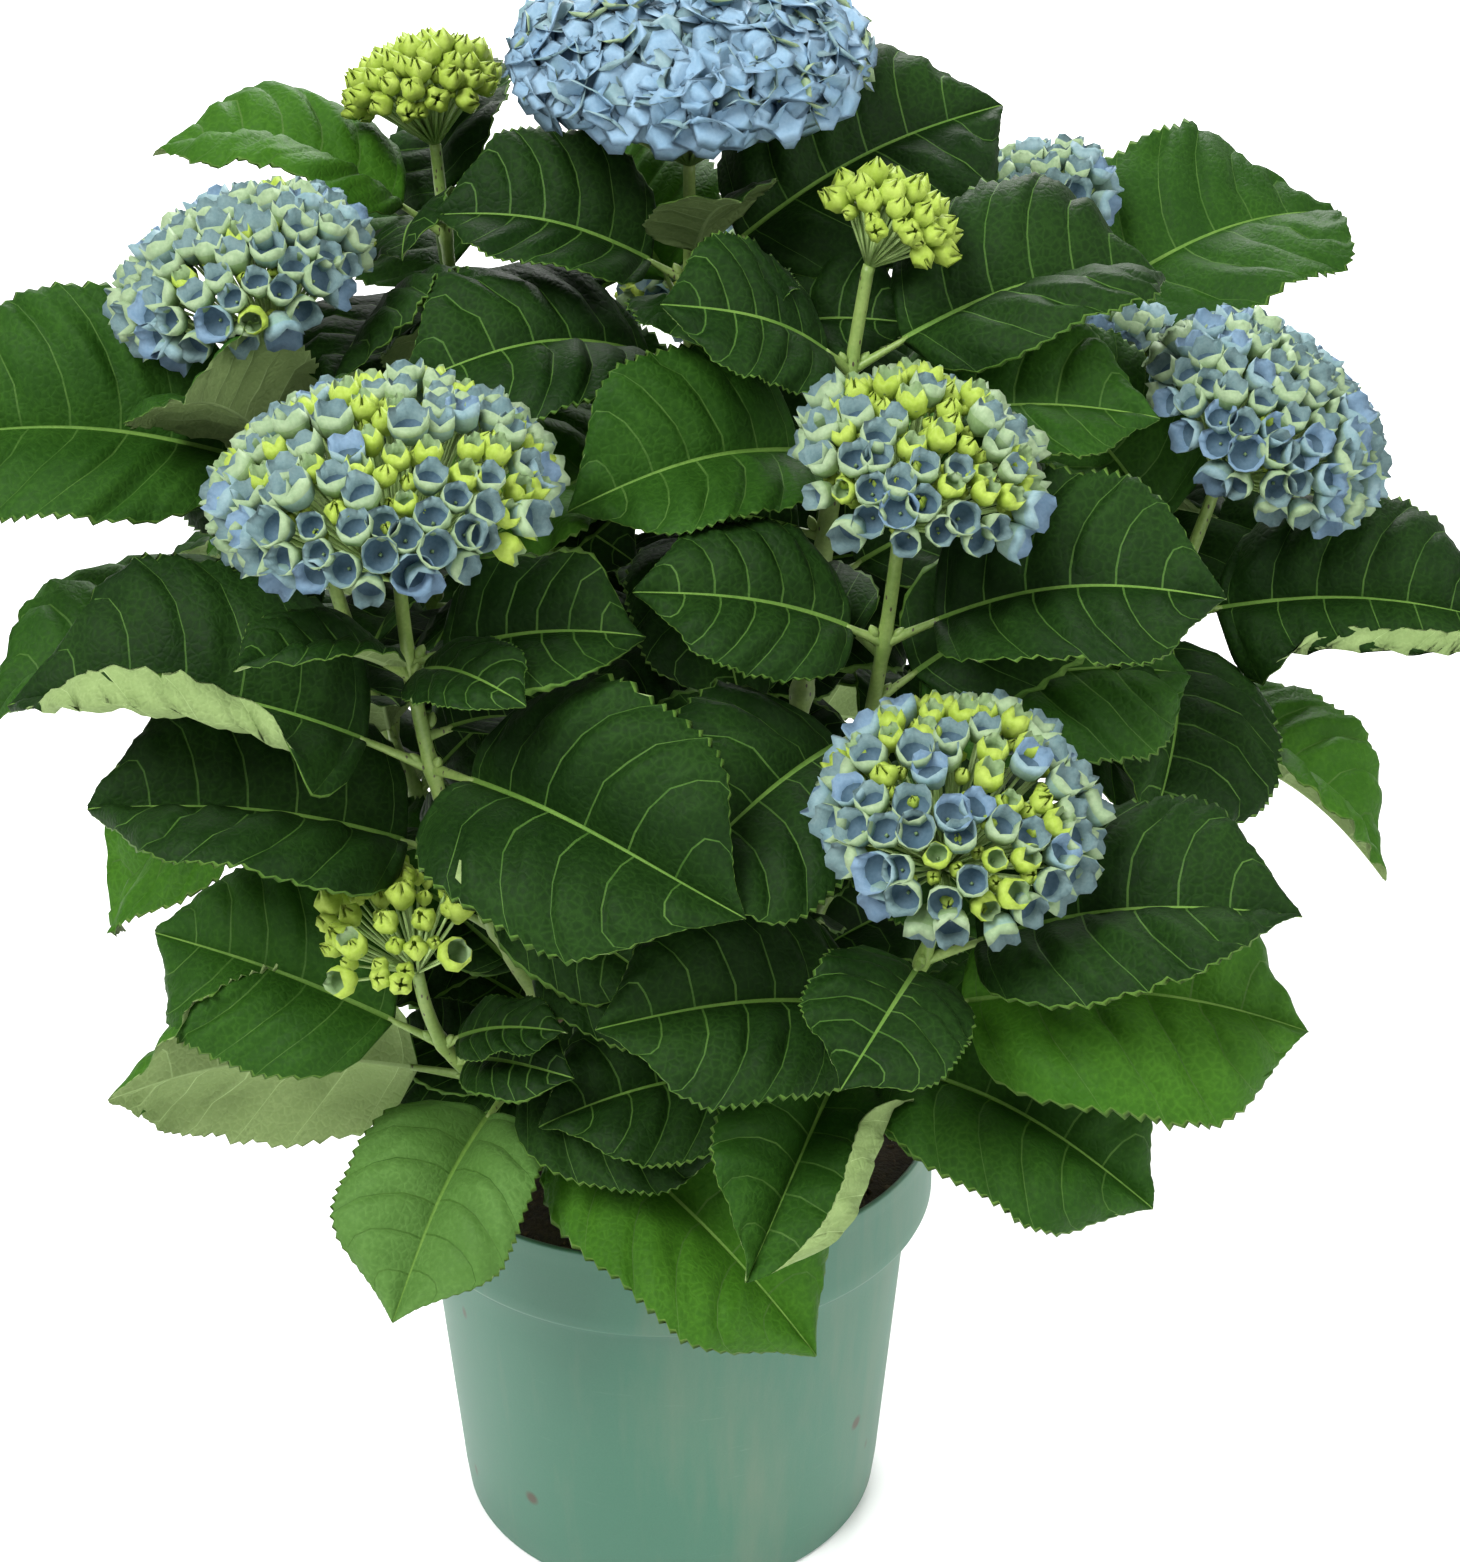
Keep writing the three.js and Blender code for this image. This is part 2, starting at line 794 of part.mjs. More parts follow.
// A shoot's upper stem with its leaves and its flower head, as one body.
function shootSolid(line, leaves) {
  const parts = [solidOf(limbGeometry(line, line.split + SEAT / 2, line.length, CANE.shootSides))];
  for (const { shape } of leaves) {
    parts.push(leafSolid(shape.blade));
  }
  if (line.plan.width > 0) {
    parts.push(neckSolid(line), headSolid(line));
  }
  return fuse(parts);
}

function hydrangea() {
  const plant = new THREE.Group();
  plant.add(named("pot", potGeometry(), potMaterial()));
  plant.add(named("potting_mix", mixGeometry(), mixMaterial()));
  plant.add(named("stem_stool", stubGeometry(), woodMaterial()));
  const lines = SHOOTS.map((plan) => new ShootLine(plan));
  const leaves = growLeaves(lines);
  for (const line of lines) {
    const own = leaves.filter((leaf) => leaf.line === line);
    plant.add(named(`cane_${line.plan.name}`, geometryOf(caneSolid(line)), caneMaterial()));
    plant.add(named(`shoot_${line.plan.name}`, geometryOf(shootSolid(line, own)), leafMaterial()));
  }
  return plant;
}

export default hydrangea();
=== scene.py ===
"""Dresses a potted mophead hydrangea round its solid model.

The plan of the plant is in millimetres, as in the solid model, and every mesh is made in metres.
Azimuths are degrees from +X towards +Y, and pitches are degrees above level.
"""
import json
import logging
import math
from dataclasses import dataclass, field
from enum import Enum
from typing import Any, ClassVar, Sequence

import bpy
import numpy as np
from mathutils import Matrix, Vector

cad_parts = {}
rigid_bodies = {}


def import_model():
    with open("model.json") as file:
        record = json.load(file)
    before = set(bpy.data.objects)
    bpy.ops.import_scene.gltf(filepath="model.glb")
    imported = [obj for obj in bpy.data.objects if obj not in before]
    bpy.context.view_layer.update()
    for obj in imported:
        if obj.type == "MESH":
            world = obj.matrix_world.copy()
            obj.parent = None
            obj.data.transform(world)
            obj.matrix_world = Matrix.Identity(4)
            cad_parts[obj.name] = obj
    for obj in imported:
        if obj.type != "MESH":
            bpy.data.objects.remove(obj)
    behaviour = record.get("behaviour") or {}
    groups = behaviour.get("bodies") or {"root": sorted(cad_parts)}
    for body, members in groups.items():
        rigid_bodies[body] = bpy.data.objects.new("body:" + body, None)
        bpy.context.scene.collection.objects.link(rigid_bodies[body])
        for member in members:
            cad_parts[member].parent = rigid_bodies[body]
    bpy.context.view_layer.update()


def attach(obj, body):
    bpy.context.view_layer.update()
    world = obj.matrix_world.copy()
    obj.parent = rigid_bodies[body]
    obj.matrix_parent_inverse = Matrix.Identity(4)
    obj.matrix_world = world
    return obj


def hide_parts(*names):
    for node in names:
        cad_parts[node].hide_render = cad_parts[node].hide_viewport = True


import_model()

LOG = logging.getLogger("hydrangea")
MM = 0.001
UP = np.array([0.0, 0.0, 1.0])
GOLDEN_ANGLE = math.pi * (3 - math.sqrt(5))
Triple = tuple[float, float, float]
Shape = tuple[np.ndarray, np.ndarray]


# ---------------------------------------- the plan's words


class Tone(Enum):
    """How light the upper side of a leaf is."""

    DARK = "leaf_dark"
    MID = "leaf_mid"
    BRIGHT = "leaf_bright"
    PALE = "leaf_pale"


class Bloom(Enum):
    """How far the florets of a head have opened."""

    OPEN = "open"
    BLUE = "blue"
    MIXED = "mixed"
    PALE = "pale"
    LIME = "lime"
    SPARSE = "sparse"
    BUD = "bud"
    NONE = "none"


@dataclass(frozen=True)
class LeafPlan:
    """One leaf: where its midrib points, its length with stalk, and its look.

    Curl lifts both halves, and lap folds the outer part of one half over by so many degrees, the
    half on the left of the midrib where it is negative.
    """

    heading: float
    pitch: float
    span: float
    roll: float = 0.0
    width: float = 0.8
    tone: Tone | None = None
    curl: float = 0.0
    lap: float = 0.0


@dataclass(frozen=True)
class PairPlan:
    """The leaves at one node, a drop below the flower head."""

    drop: float
    leaves: tuple[LeafPlan, ...]


@dataclass(frozen=True)
class ShootPlan:
    """One shoot: its flower head, its foot on the stool and its pairs of leaves."""

    name: str
    head: Triple
    width: float
    lean: tuple[float, float]
    foot: tuple[float, float]
    bloom: Bloom
    pairs: tuple[PairPlan, ...]


def leaf(
    heading: float, pitch: float, span: float, roll: float = 0.0, width: float = 0.8, **look: Any
) -> LeafPlan:
    """A leaf by its place, and its look where that isn't left to chance."""
    return LeafPlan(heading, pitch, span, roll, width, **look)


def pair(drop: float, *leaves: LeafPlan) -> PairPlan:
    """The leaves of one node."""
    return PairPlan(drop, leaves)


PALE = Tone.PALE
BRIGHT = Tone.BRIGHT
MID = Tone.MID
DARK = Tone.DARK

SHOOTS = (
    ShootPlan("crown", (12, 0, 637), 136, (270, 6), (95, 9), Bloom.OPEN, (
        pair(44, leaf(182, 18, 100, tone=DARK), leaf(24, 24, 142, tone=DARK)),
        pair(58, leaf(282, 10, 92, tone=DARK), leaf(118, 20, 115)),
        pair(78, leaf(214, 18, 124, tone=DARK), leaf(330, 6, 100, tone=DARK)),
        pair(108, leaf(228, -8, 125, tone=BRIGHT), leaf(48, 16, 128)),
        pair(140, leaf(300, -14, 120, tone=DARK), leaf(135, 8, 120)),
        pair(175, leaf(232, -16, 120, tone=DARK), leaf(20, 4, 120)),
    )),
    ShootPlan("top_left", (-90, 60, 610), 66, (150, 12), (205, 9), Bloom.BUD, (
        pair(34, leaf(184, 28, 118, 10, tone=BRIGHT), leaf(99, 34, 108)),
        pair(62, leaf(240, 2, 112, tone=DARK), leaf(95, 6, 125)),
        pair(100, leaf(265, 58, 90, tone=MID), leaf(120, -8, 125)),
        pair(150, leaf(80, 2, 125), leaf(175, -6, 120)),
    )),
    ShootPlan("left", (-148, -30, 564), 98, (200, 18), (180, 22), Bloom.PALE, (
        pair(50, leaf(183, 16, 145, 20, tone=MID), leaf(249, 35, 100, -15, tone=MID)),
        pair(82, leaf(276, 56, 100, tone=MID), leaf(110, 8, 120)),
        pair(122, leaf(204, 4, 145, tone=MID), leaf(140, -12, 125)),
        pair(162, leaf(188, -18, 155, 10, tone=BRIGHT)),
    )),
    ShootPlan("front_left", (-86, -150, 527), 115, (250, 10), (247, 22), Bloom.MIXED, (
        pair(36, leaf(228, 20, 78, 0, 0.6), leaf(306, 14, 72, 0, 0.6)),
        pair(76, leaf(184, 16, 150, tone=DARK, lap=-150), leaf(318, -4, 140, tone=DARK)),
        pair(122, leaf(198, 0, 140, tone=DARK)),
        pair(165, leaf(140, 0, 110), leaf(345, -12, 110)),
    )),
    ShootPlan("front_right", (90, -130, 528), 88, (300, 22), (318, 22), Bloom.LIME, (
        pair(46, leaf(196, 18, 95, tone=DARK), leaf(348, 16, 122, tone=DARK)),
        pair(84, leaf(232, -6, 128, tone=DARK), leaf(12, 8, 125, tone=MID)),
        pair(130, leaf(165, 0, 110), leaf(285, -12, 110)),
    )),
    ShootPlan("right", (225, -30, 509), 98, (330, 34), (350, 22), Bloom.BLUE, (
        pair(38, leaf(160, 45, 112, 30)),
        pair(62, leaf(262, -12, 118, tone=DARK), leaf(348, 8, 134, -36, tone=DARK, lap=140)),
        pair(115, leaf(332, -12, 130, tone=BRIGHT), leaf(70, -8, 115)),
    )),
    ShootPlan("right_back", (183, 55, 505), 72, (20, 22), (20, 22), Bloom.BLUE, (
        pair(54, leaf(150, 22, 100, tone=DARK), leaf(300, 10, 90)),
        pair(85, leaf(240, 10, 110), leaf(18, 26, 150, -20, tone=DARK)),
        pair(130, leaf(48, -8, 135), leaf(330, -22, 105)),
    )),
    ShootPlan("low_right", (102, -200, 433), 95, (285, 26), (284, 22), Bloom.MIXED, (
        pair(44, leaf(250, 0, 85, tone=DARK), leaf(346, 16, 132, tone=DARK)),
        pair(80, leaf(206, 14, 118, tone=DARK), leaf(354, 4, 150, tone=BRIGHT)),
        pair(125, leaf(248, -14, 110, tone=MID, curl=0.3, lap=-158), leaf(330, -8, 128, tone=MID)),
        pair(165, leaf(205, 8, 110), leaf(0, -8, 135, tone=MID)),
    )),
    ShootPlan("low_left", (-90, -152, 362), 72, (235, 22), (213, 22), Bloom.SPARSE, (
        pair(40, leaf(165, 14, 120, tone=MID), leaf(330, 24, 60, 0, 0.55)),
        pair(76, leaf(192, 6, 140, -110, tone=BRIGHT), leaf(345, 14, 118, tone=DARK)),
        pair(104, leaf(248, -22, 108, tone=PALE)),
        pair(128, leaf(320, -18, 158, 0, 0.68, tone=BRIGHT)),
    )),
    ShootPlan("inner_right", (83, -45, 588), 56, (10, 25), (325, 9), Bloom.BUD, (
        pair(38, leaf(14, 16, 126, tone=DARK), leaf(215, 18, 90, tone=DARK)),
        pair(70, leaf(350, 12, 118, tone=MID), leaf(190, 2, 120)),
    )),
    ShootPlan("back_right", (150, 122, 552), 74, (150, 12), (52, 22), Bloom.BLUE, (
        pair(36, leaf(24, 19, 156, -30, tone=MID)),
        pair(62, leaf(200, 20, 110)),
        pair(90, leaf(110, 12, 125)),
        pair(130, leaf(60, -4, 130), leaf(10, -10, 130)),
    )),
    ShootPlan("back", (30, 175, 495), 105, (90, 28), (84, 22), Bloom.MIXED, (
        pair(50, leaf(20, 14, 125), leaf(160, 16, 125)),
        pair(90, leaf(80, 4, 130), leaf(255, 20, 100)),
        pair(135, leaf(45, -10, 130), leaf(200, -4, 110)),
        pair(175, leaf(150, -12, 115), leaf(320, -4, 100)),
    )),
    ShootPlan("back_left", (-125, 150, 445), 95, (135, 30), (148, 22), Bloom.PALE, (
        pair(50, leaf(200, 14, 130), leaf(60, 12, 120)),
        pair(92, leaf(120, 0, 135), leaf(255, 10, 110)),
        pair(135, leaf(170, -14, 130), leaf(30, -8, 110)),
        pair(180, leaf(105, -8, 130), leaf(215, -14, 125)),
    )),
    ShootPlan("back_low", (10, 190, 330), 0, (95, 50), (116, 22), Bloom.NONE, (
        pair(8, leaf(60, 0, 135), leaf(130, -6, 135)),
        pair(50, leaf(15, -10, 140), leaf(175, -10, 140)),
    )),
)


@dataclass(frozen=True)
class Growth:
    """The sizes of the plant's growing rule, in millimetres and degrees, as in the solid model."""

    stool_top: float = 206.0
    foot_radius: float = 4.5
    node_radius: float = 3.7
    tip_radius: float = 2.3
    rise: float = 0.75
    spread: float = 1.5
    first_reach: float = 0.36
    hang: float = 0.45
    last_reach: float = 0.36
    under_head: float = 0.3
    below_pairs: float = 16.0
    arch: float = 0.1
    fold: float = 14.0
    petiole: float = 0.16
    stalk_width: float = 2.6
    face_out: float = 38.0
    face_reach: float = 60.0
    face_from: float = 80.0
    clear: float = 2.2
    root_clear: float = 0.25
    head_rise: float = 0.56
    head_drop: float = 0.3
    rim_radius: float = 115.0
    rim_height: float = 193.0


GROWTH = Growth()
LEAF_ROWS = np.array([0, 0.16, 0.4, 0.68, 1])

# Each turn is the heading change, pitch change and scale that a leaf may take to keep clear.
TURNS = (
    (0, 0, 1), (0, 7, 1), (0, -7, 1), (11, 0, 1), (-11, 0, 1),
    (8, 13, 0.96), (-8, -13, 0.96), (8, -13, 0.96), (-8, 13, 0.96),
    (20, 0, 0.92), (-20, 0, 0.92), (0, 20, 0.9), (0, -20, 0.9),
    (18, 10, 0.85), (-18, -10, 0.85), (-18, 18, 0.8), (18, -18, 0.8),
)


# ---------------------------------------- the growing rule


def direction(azimuth: float, pitch: float) -> np.ndarray:
    """The unit vector at an azimuth and a pitch above level."""
    level = math.cos(math.radians(pitch))
    turn = math.radians(azimuth)
    return np.array([level * math.cos(turn), level * math.sin(turn), math.sin(math.radians(pitch))])


def unit(vector: np.ndarray) -> np.ndarray:
    """The vector, or each of several, at length one."""
    return vector / np.maximum(np.linalg.norm(vector, axis=-1, keepdims=True), 1e-9)


def blade_width(share: np.ndarray) -> np.ndarray:
    """Half a blade's width at shares of its length, as a share of the widest."""
    rise, fall = 0.5, 0.74
    widest = rise / (rise + fall)
    peak = widest**rise * (1 - widest) ** fall
    return share**rise * (1 - share) ** fall / peak


class ShootLine:
    """The line of one shoot, from its foot on the stool to the underside of its flower head."""

    def __init__(self, plan: ShootPlan) -> None:
        """Lays the line out.

        Args:
            plan: the shoot's plan.
        """
        self.plan = plan
        self.head = np.array(plan.head, float)
        self.face = direction(plan.lean[0], 90 - plan.lean[1])
        self.top = self.head - self.face * GROWTH.under_head * plan.width
        foot = direction(plan.foot[0], 0) * plan.foot[1]
        foot[2] = GROWTH.stool_top
        reach = np.linalg.norm(self.top - foot)
        out = (self.head - foot) * GROWTH.spread / reach
        leaving = unit(np.array([out[0], out[1], GROWTH.rise]))
        arriving = unit(self.face * GROWTH.hang + UP * GROWTH.rise)
        a, b = foot, foot + leaving * GROWTH.first_reach * reach
        c, d = self.top - arriving * GROWTH.last_reach * reach, self.top
        t = np.linspace(0, 1, 41)[:, None]
        self.points = (1 - t) ** 3 * a + 3 * (1 - t) ** 2 * t * b + 3 * (1 - t) * t**2 * c + t**3 * d
        steps = np.linalg.norm(np.diff(self.points, axis=0), axis=1)
        self.runs = np.concatenate([[0], np.cumsum(steps)])
        self.length = float(self.runs[-1])
        self.split = self.length - plan.pairs[-1].drop - GROWTH.below_pairs

    def at(self, run: np.ndarray | float) -> np.ndarray:
        """Points the given runs along the line from its foot."""
        wanted = np.clip(run, 0, self.length)
        return np.stack([np.interp(wanted, self.runs, self.points[:, k]) for k in range(3)], -1)

    def heading(self, run: np.ndarray | float, half: float = 2.0) -> np.ndarray:
        """The line's direction at the given runs."""
        return unit(self.at(np.asarray(run) + half) - self.at(np.asarray(run) - half))

    def radius(self, run: np.ndarray) -> np.ndarray:
        """The stem's radius: it thins evenly from its foot to its head."""
        low = GROWTH.foot_radius + (GROWTH.node_radius - GROWTH.foot_radius) * run / self.split
        high = GROWTH.node_radius + (GROWTH.tip_radius - GROWTH.node_radius) * run / self.length
        return np.where(run < self.split, low, high)


class Blade:
    """One leaf set at a node: gives points of its blade by a share along and a share across."""

    def __init__(self, node: np.ndarray, plan: LeafPlan, turn: Triple) -> None:
        """Sets the leaf's axes.

        Args:
            node: where its stalk leaves the stem.
            plan: the leaf's plan.
            turn: heading change, pitch change and scale.
        """
        heading, pitch, scale = turn
        self.node = node
        self.plan = plan
        self.span = plan.span * scale
        self.length = self.span * (1 - GROWTH.petiole)
        self.half_width = plan.width * self.length / 2
        self.ahead = direction(plan.heading + heading, plan.pitch + pitch)
        level = unit(np.cross(self.ahead, UP))
        over = np.cross(level, self.ahead)
        middle = node + self.ahead * self.span / 2
        out = np.array([middle[0], middle[1] - GROWTH.face_from, 0])
        out /= max(np.linalg.norm(out), GROWTH.face_reach)
        roll = math.radians(plan.roll - GROWTH.face_out * float(out @ level))
        self.side = level * math.cos(roll) + over * math.sin(roll)
        self.over = over * math.cos(roll) - level * math.sin(roll)

    def midrib(self, whole: np.ndarray) -> np.ndarray:
        """The midrib at shares of the whole leaf, stalk included."""
        whole = np.asarray(whole)[..., None]
        lift = self.span * GROWTH.arch * np.sin(math.pi * whole)
        return self.node + self.ahead * self.span * whole + self.over * lift

    def facing(self, whole: np.ndarray) -> np.ndarray:
        """The direction square to the midrib on the leaf's upper side."""
        slope = GROWTH.arch * math.pi * np.cos(math.pi * np.asarray(whole))[..., None]
        return np.cross(self.side, unit(self.ahead + self.over * slope))

    def grid(self, rows: np.ndarray, columns: np.ndarray) -> np.ndarray:
        """Lays the coarse blade.

        Args:
            rows: shares of its length.
            columns: shares of its half width, from -1 on the left to 1.

        Returns:
            Its corners, row by row from its base to its tip.
        """
        share, across = np.meshgrid(rows, columns, indexing="ij")
        whole = GROWTH.petiole + (1 - GROWTH.petiole) * share
        away = np.abs(across) * self.half_width * blade_width(share)
        fold = math.radians(GROWTH.fold)
        level = (np.sign(across) * away * math.cos(fold))[..., None]
        lift = (away * math.sin(fold))[..., None]
        return self.midrib(whole) + self.side * level + self.facing(whole) * lift


def grid_edges(grid: np.ndarray) -> np.ndarray:
    """The sides and diagonals of a grid of corners, as pairs of points."""
    ends = [(grid[:-1], grid[1:]), (grid[:, :-1], grid[:, 1:]), (grid[:-1, :-1], grid[1:, 1:])]
    return np.concatenate([np.stack([a.reshape(-1, 3), b.reshape(-1, 3)], 1) for a, b in ends])


def grid_faces(grid: np.ndarray) -> np.ndarray:
    """The triangles of a grid of corners."""
    a, b, c, d = (g.reshape(-1, 3) for g in (grid[:-1, :-1], grid[:-1, 1:], grid[1:, 1:], grid[1:, :-1]))
    return np.concatenate([np.stack([a, b, c], 1), np.stack([a, c, d], 1)])


def pierces(edges: np.ndarray, faces: np.ndarray) -> bool:
    """Whether any edge passes through any triangle.

    Args:
        edges: pairs of points.
        faces: the triangles' corners.

    Returns:
        True where one does.
    """
    start = edges[:, 0][:, None]
    run = (edges[:, 1] - edges[:, 0])[:, None]
    corner = faces[None, :, 0]
    first = (faces[:, 1] - faces[:, 0])[None]
    second = (faces[:, 2] - faces[:, 0])[None]
    normal = np.cross(run, second)
    facing = (first * normal).sum(-1)
    solid = np.abs(facing) > 1e-9
    safe = np.where(solid, facing, 1)
    offset = start - corner
    u = (offset * normal).sum(-1) / safe
    turned = np.cross(offset, first)
    v = (run * turned).sum(-1) / safe
    t = (second * turned).sum(-1) / safe
    return bool((solid & (u >= 0) & (v >= 0) & (u + v <= 1) & (t >= 0) & (t <= 1)).any())


def comes_near(points: np.ndarray, segments: np.ndarray, distance: float) -> bool:
    """Whether any point comes close to any segment.

    Args:
        points: the points.
        segments: pairs of points.
        distance: how close is close.

    Returns:
        True where one does.
    """
    start = segments[None, :, 0]
    run = (segments[:, 1] - segments[:, 0])[None]
    offset = points[:, None] - start
    along = np.clip((offset * run).sum(-1) / np.maximum((run * run).sum(-1), 1e-9), 0, 1)
    gap = np.linalg.norm(offset - run * along[..., None], axis=-1)
    return bool((gap < distance).any())


class LeafShape:
    """A leaf's coarse form in three layers, for keeping it clear of everything else."""

    def __init__(self, blade: Blade) -> None:
        """Takes the coarse form of a blade.

        Args:
            blade: the blade.
        """
        self.blade = blade
        grid = blade.grid(LEAF_ROWS, np.array([-1.0, 0, 1]))
        self.faces = grid_faces(grid)
        whole = GROWTH.petiole + (1 - GROWTH.petiole) * LEAF_ROWS
        lift = blade.facing(whole)[:, None] * GROWTH.clear
        self.stalk = np.array([[blade.node, grid[0, 1]]])
        root = blade.node + blade.ahead * GROWTH.petiole * 0.3 * blade.span
        layers = [grid_edges(grid + lift * step) for step in (-1, 0, 1)]
        self.edges = np.concatenate([*layers, np.array([[root, grid[0, 1]]])])
        rows = np.array([0, 0.12, 0.25, 0.4, 0.55, 0.7, 0.85, 1])
        self.samples = blade.grid(rows, np.array([-1, -0.5, 0, 0.5, 1])).reshape(-1, 3)
        every = np.concatenate([self.samples, blade.node[None]])
        self.centre = (every.min(0) + every.max(0)) / 2
        self.reach = float(np.linalg.norm(every - self.centre, axis=1).max())

    def touches_leaf(self, other: "LeafShape") -> bool:
        """Whether it meets another leaf or its stalk.

        Args:
            other: the other leaf.

        Returns:
            True where it does.
        """
        if np.linalg.norm(self.centre - other.centre) > self.reach + other.reach:
            return False
        near = GROWTH.stalk_width + GROWTH.clear
        return (
            pierces(self.edges, other.faces)
            or pierces(other.edges, self.faces)
            or comes_near(self.samples, other.stalk, near)
            or comes_near(other.samples, self.stalk, near)
        )

    def touches_line(self, line: ShootLine, own: bool) -> bool:
        """Whether it meets a stem.

        Args:
            line: the stem.
            own: whether it is the leaf's own, which it may meet at its node.

        Returns:
            True where it does.
        """
        segments = np.stack([line.points[:-1], line.points[1:]], 1)
        middles = segments.mean(1)
        close = np.linalg.norm(middles - self.centre, axis=1) <= self.reach + 20
        if own:
            close &= np.linalg.norm(middles - self.blade.node, axis=1) >= self.blade.span * GROWTH.root_clear
        if not close.any():
            return False
        segments = segments[close]
        near = GROWTH.foot_radius + GROWTH.clear
        return pierces(segments, self.faces) or comes_near(self.samples, segments, near)

    def touches_head(self, line: ShootLine) -> bool:
        """Whether it meets a flower head.

        Args:
            line: the head's shoot.

        Returns:
            True where it does.
        """
        if line.plan.width == 0:
            return False
        radius = line.plan.width / 2 + GROWTH.clear
        offset = self.samples - line.head
        height = offset @ line.face
        level = np.linalg.norm(offset - height[:, None] * line.face, axis=1) / radius
        upright = height / (radius * np.where(height > 0, GROWTH.head_rise, GROWTH.head_drop) + GROWTH.clear)
        return bool((level**2 + upright**2 < 1).any())

    def touches_pot(self) -> bool:
        """Whether it meets the pot."""
        inside = np.hypot(self.samples[:, 0], self.samples[:, 1]) < GROWTH.rim_radius + 2 * GROWTH.clear
        return bool((inside & (self.samples[:, 2] < GROWTH.rim_height + 2 * GROWTH.clear)).any())


@dataclass
class PlacedLeaf:
    """A leaf that has found its place."""

    line: ShootLine
    shape: LeafShape
    drop: float


def blocks(
    shape: LeafShape, line: ShootLine, lines: Sequence[ShootLine], placed: Sequence[PlacedLeaf]
) -> bool:
    """Whether anything stands where a leaf would be.

    Args:
        shape: the leaf's coarse form.
        line: its own shoot's line.
        lines: all the shoots' lines.
        placed: the leaves that already have a place.

    Returns:
        True where it touches the pot, a limb, a head or a leaf.
    """
    return (
        shape.touches_pot()
        or any(shape.touches_line(other, other is line) or shape.touches_head(other) for other in lines)
        or any(shape.touches_leaf(other.shape) for other in placed)
    )


def grow_leaves(lines: Sequence[ShootLine]) -> list[PlacedLeaf]:
    """Sets every leaf of the plan in turn.

    A leaf that would touch a limb, a head, the pot or an earlier leaf turns aside, and is left out
    when no turn clears it.

    Args:
        lines: all the shoots' lines.

    Returns:
        The leaves in the order of the plan.
    """
    placed: list[PlacedLeaf] = []
    for line in lines:
        for node_plan in line.plan.pairs:
            node = line.at(line.length - node_plan.drop)
            for plan in node_plan.leaves:
                for turn in TURNS:
                    shape = LeafShape(Blade(node, plan, turn))
                    if not blocks(shape, line, lines, placed):
                        placed.append(PlacedLeaf(line, shape, node_plan.drop))
                        break
    return placed


@dataclass(frozen=True)
class Filling:
    """The smaller leaves that the canes carry inside the plant, below their named pairs."""

    tries: int = 3200
    wanted: int = 110
    spans: tuple[float, float] = (58.0, 112.0)
    pitches: tuple[float, float] = (-22.0, 42.0)
    lowest_run: float = 24.0
    highest_drop: float = 26.0
    middle: Triple = (0.0, 20.0, 400.0)
    reach: Triple = (232.0, 215.0, 222.0)
    lowest: float = 216.0
    seed: int = 3

    def grow(self, lines: Sequence[ShootLine], placed: list[PlacedLeaf]) -> list[PlacedLeaf]:
        """Sets leaves wherever a cane has room for one within the plant's reach.

        Args:
            lines: all the shoots' lines.
            placed: the leaves of the plan.

        Returns:
            The added leaves alone.
        """
        chance = np.random.default_rng(self.seed)
        every = list(placed)
        for _ in range(self.tries):
            if len(every) - len(placed) == self.wanted:
                break
            line = lines[chance.integers(len(lines))]
            run = chance.uniform(self.lowest_run, line.length - self.highest_drop)
            plan = LeafPlan(
                heading=chance.uniform(0, 360),
                pitch=chance.uniform(*self.pitches),
                span=chance.uniform(*self.spans),
                width=chance.uniform(0.66, 0.82),
                tone=Tone.DARK,
            )
            shape = LeafShape(Blade(line.at(run), plan, TURNS[0]))
            share = (shape.samples - np.array(self.middle)) / np.array(self.reach)
            inside = (share**2).sum(1).max() < 1 and shape.samples[:, 2].min() > self.lowest
            if inside and not blocks(shape, line, lines, every):
                every.append(PlacedLeaf(line, shape, line.length - run))
        return every[len(placed):]


# ---------------------------------------- nodes and finishes

Colour = Triple
Inputs = dict[int | str, Any]


class Value:
    """One output of a node, which sums can be written with."""

    def __init__(self, bench: "Bench", node: bpy.types.Node, output: int | str = 0) -> None:
        """Holds a node's output."""
        self.bench = bench
        self.node = node
        self.socket = node.outputs[output]

    def __getitem__(self, output: int | str) -> "Value":
        """Another output of the same node."""
        return Value(self.bench, self.node, output)

    def __add__(self, other: Any) -> "Value":
        """This plus another."""
        return self.bench.math("ADD", self, other)

    def __sub__(self, other: Any) -> "Value":
        """This less another."""
        return self.bench.math("SUBTRACT", self, other)

    def __rsub__(self, number: float) -> "Value":
        """A number less this."""
        return self.bench.math("SUBTRACT", number, self)

    def __mul__(self, other: Any) -> "Value":
        """This times another."""
        return self.bench.math("MULTIPLY", self, other)

    def __truediv__(self, other: Any) -> "Value":
        """This over another."""
        return self.bench.math("DIVIDE", self, other)


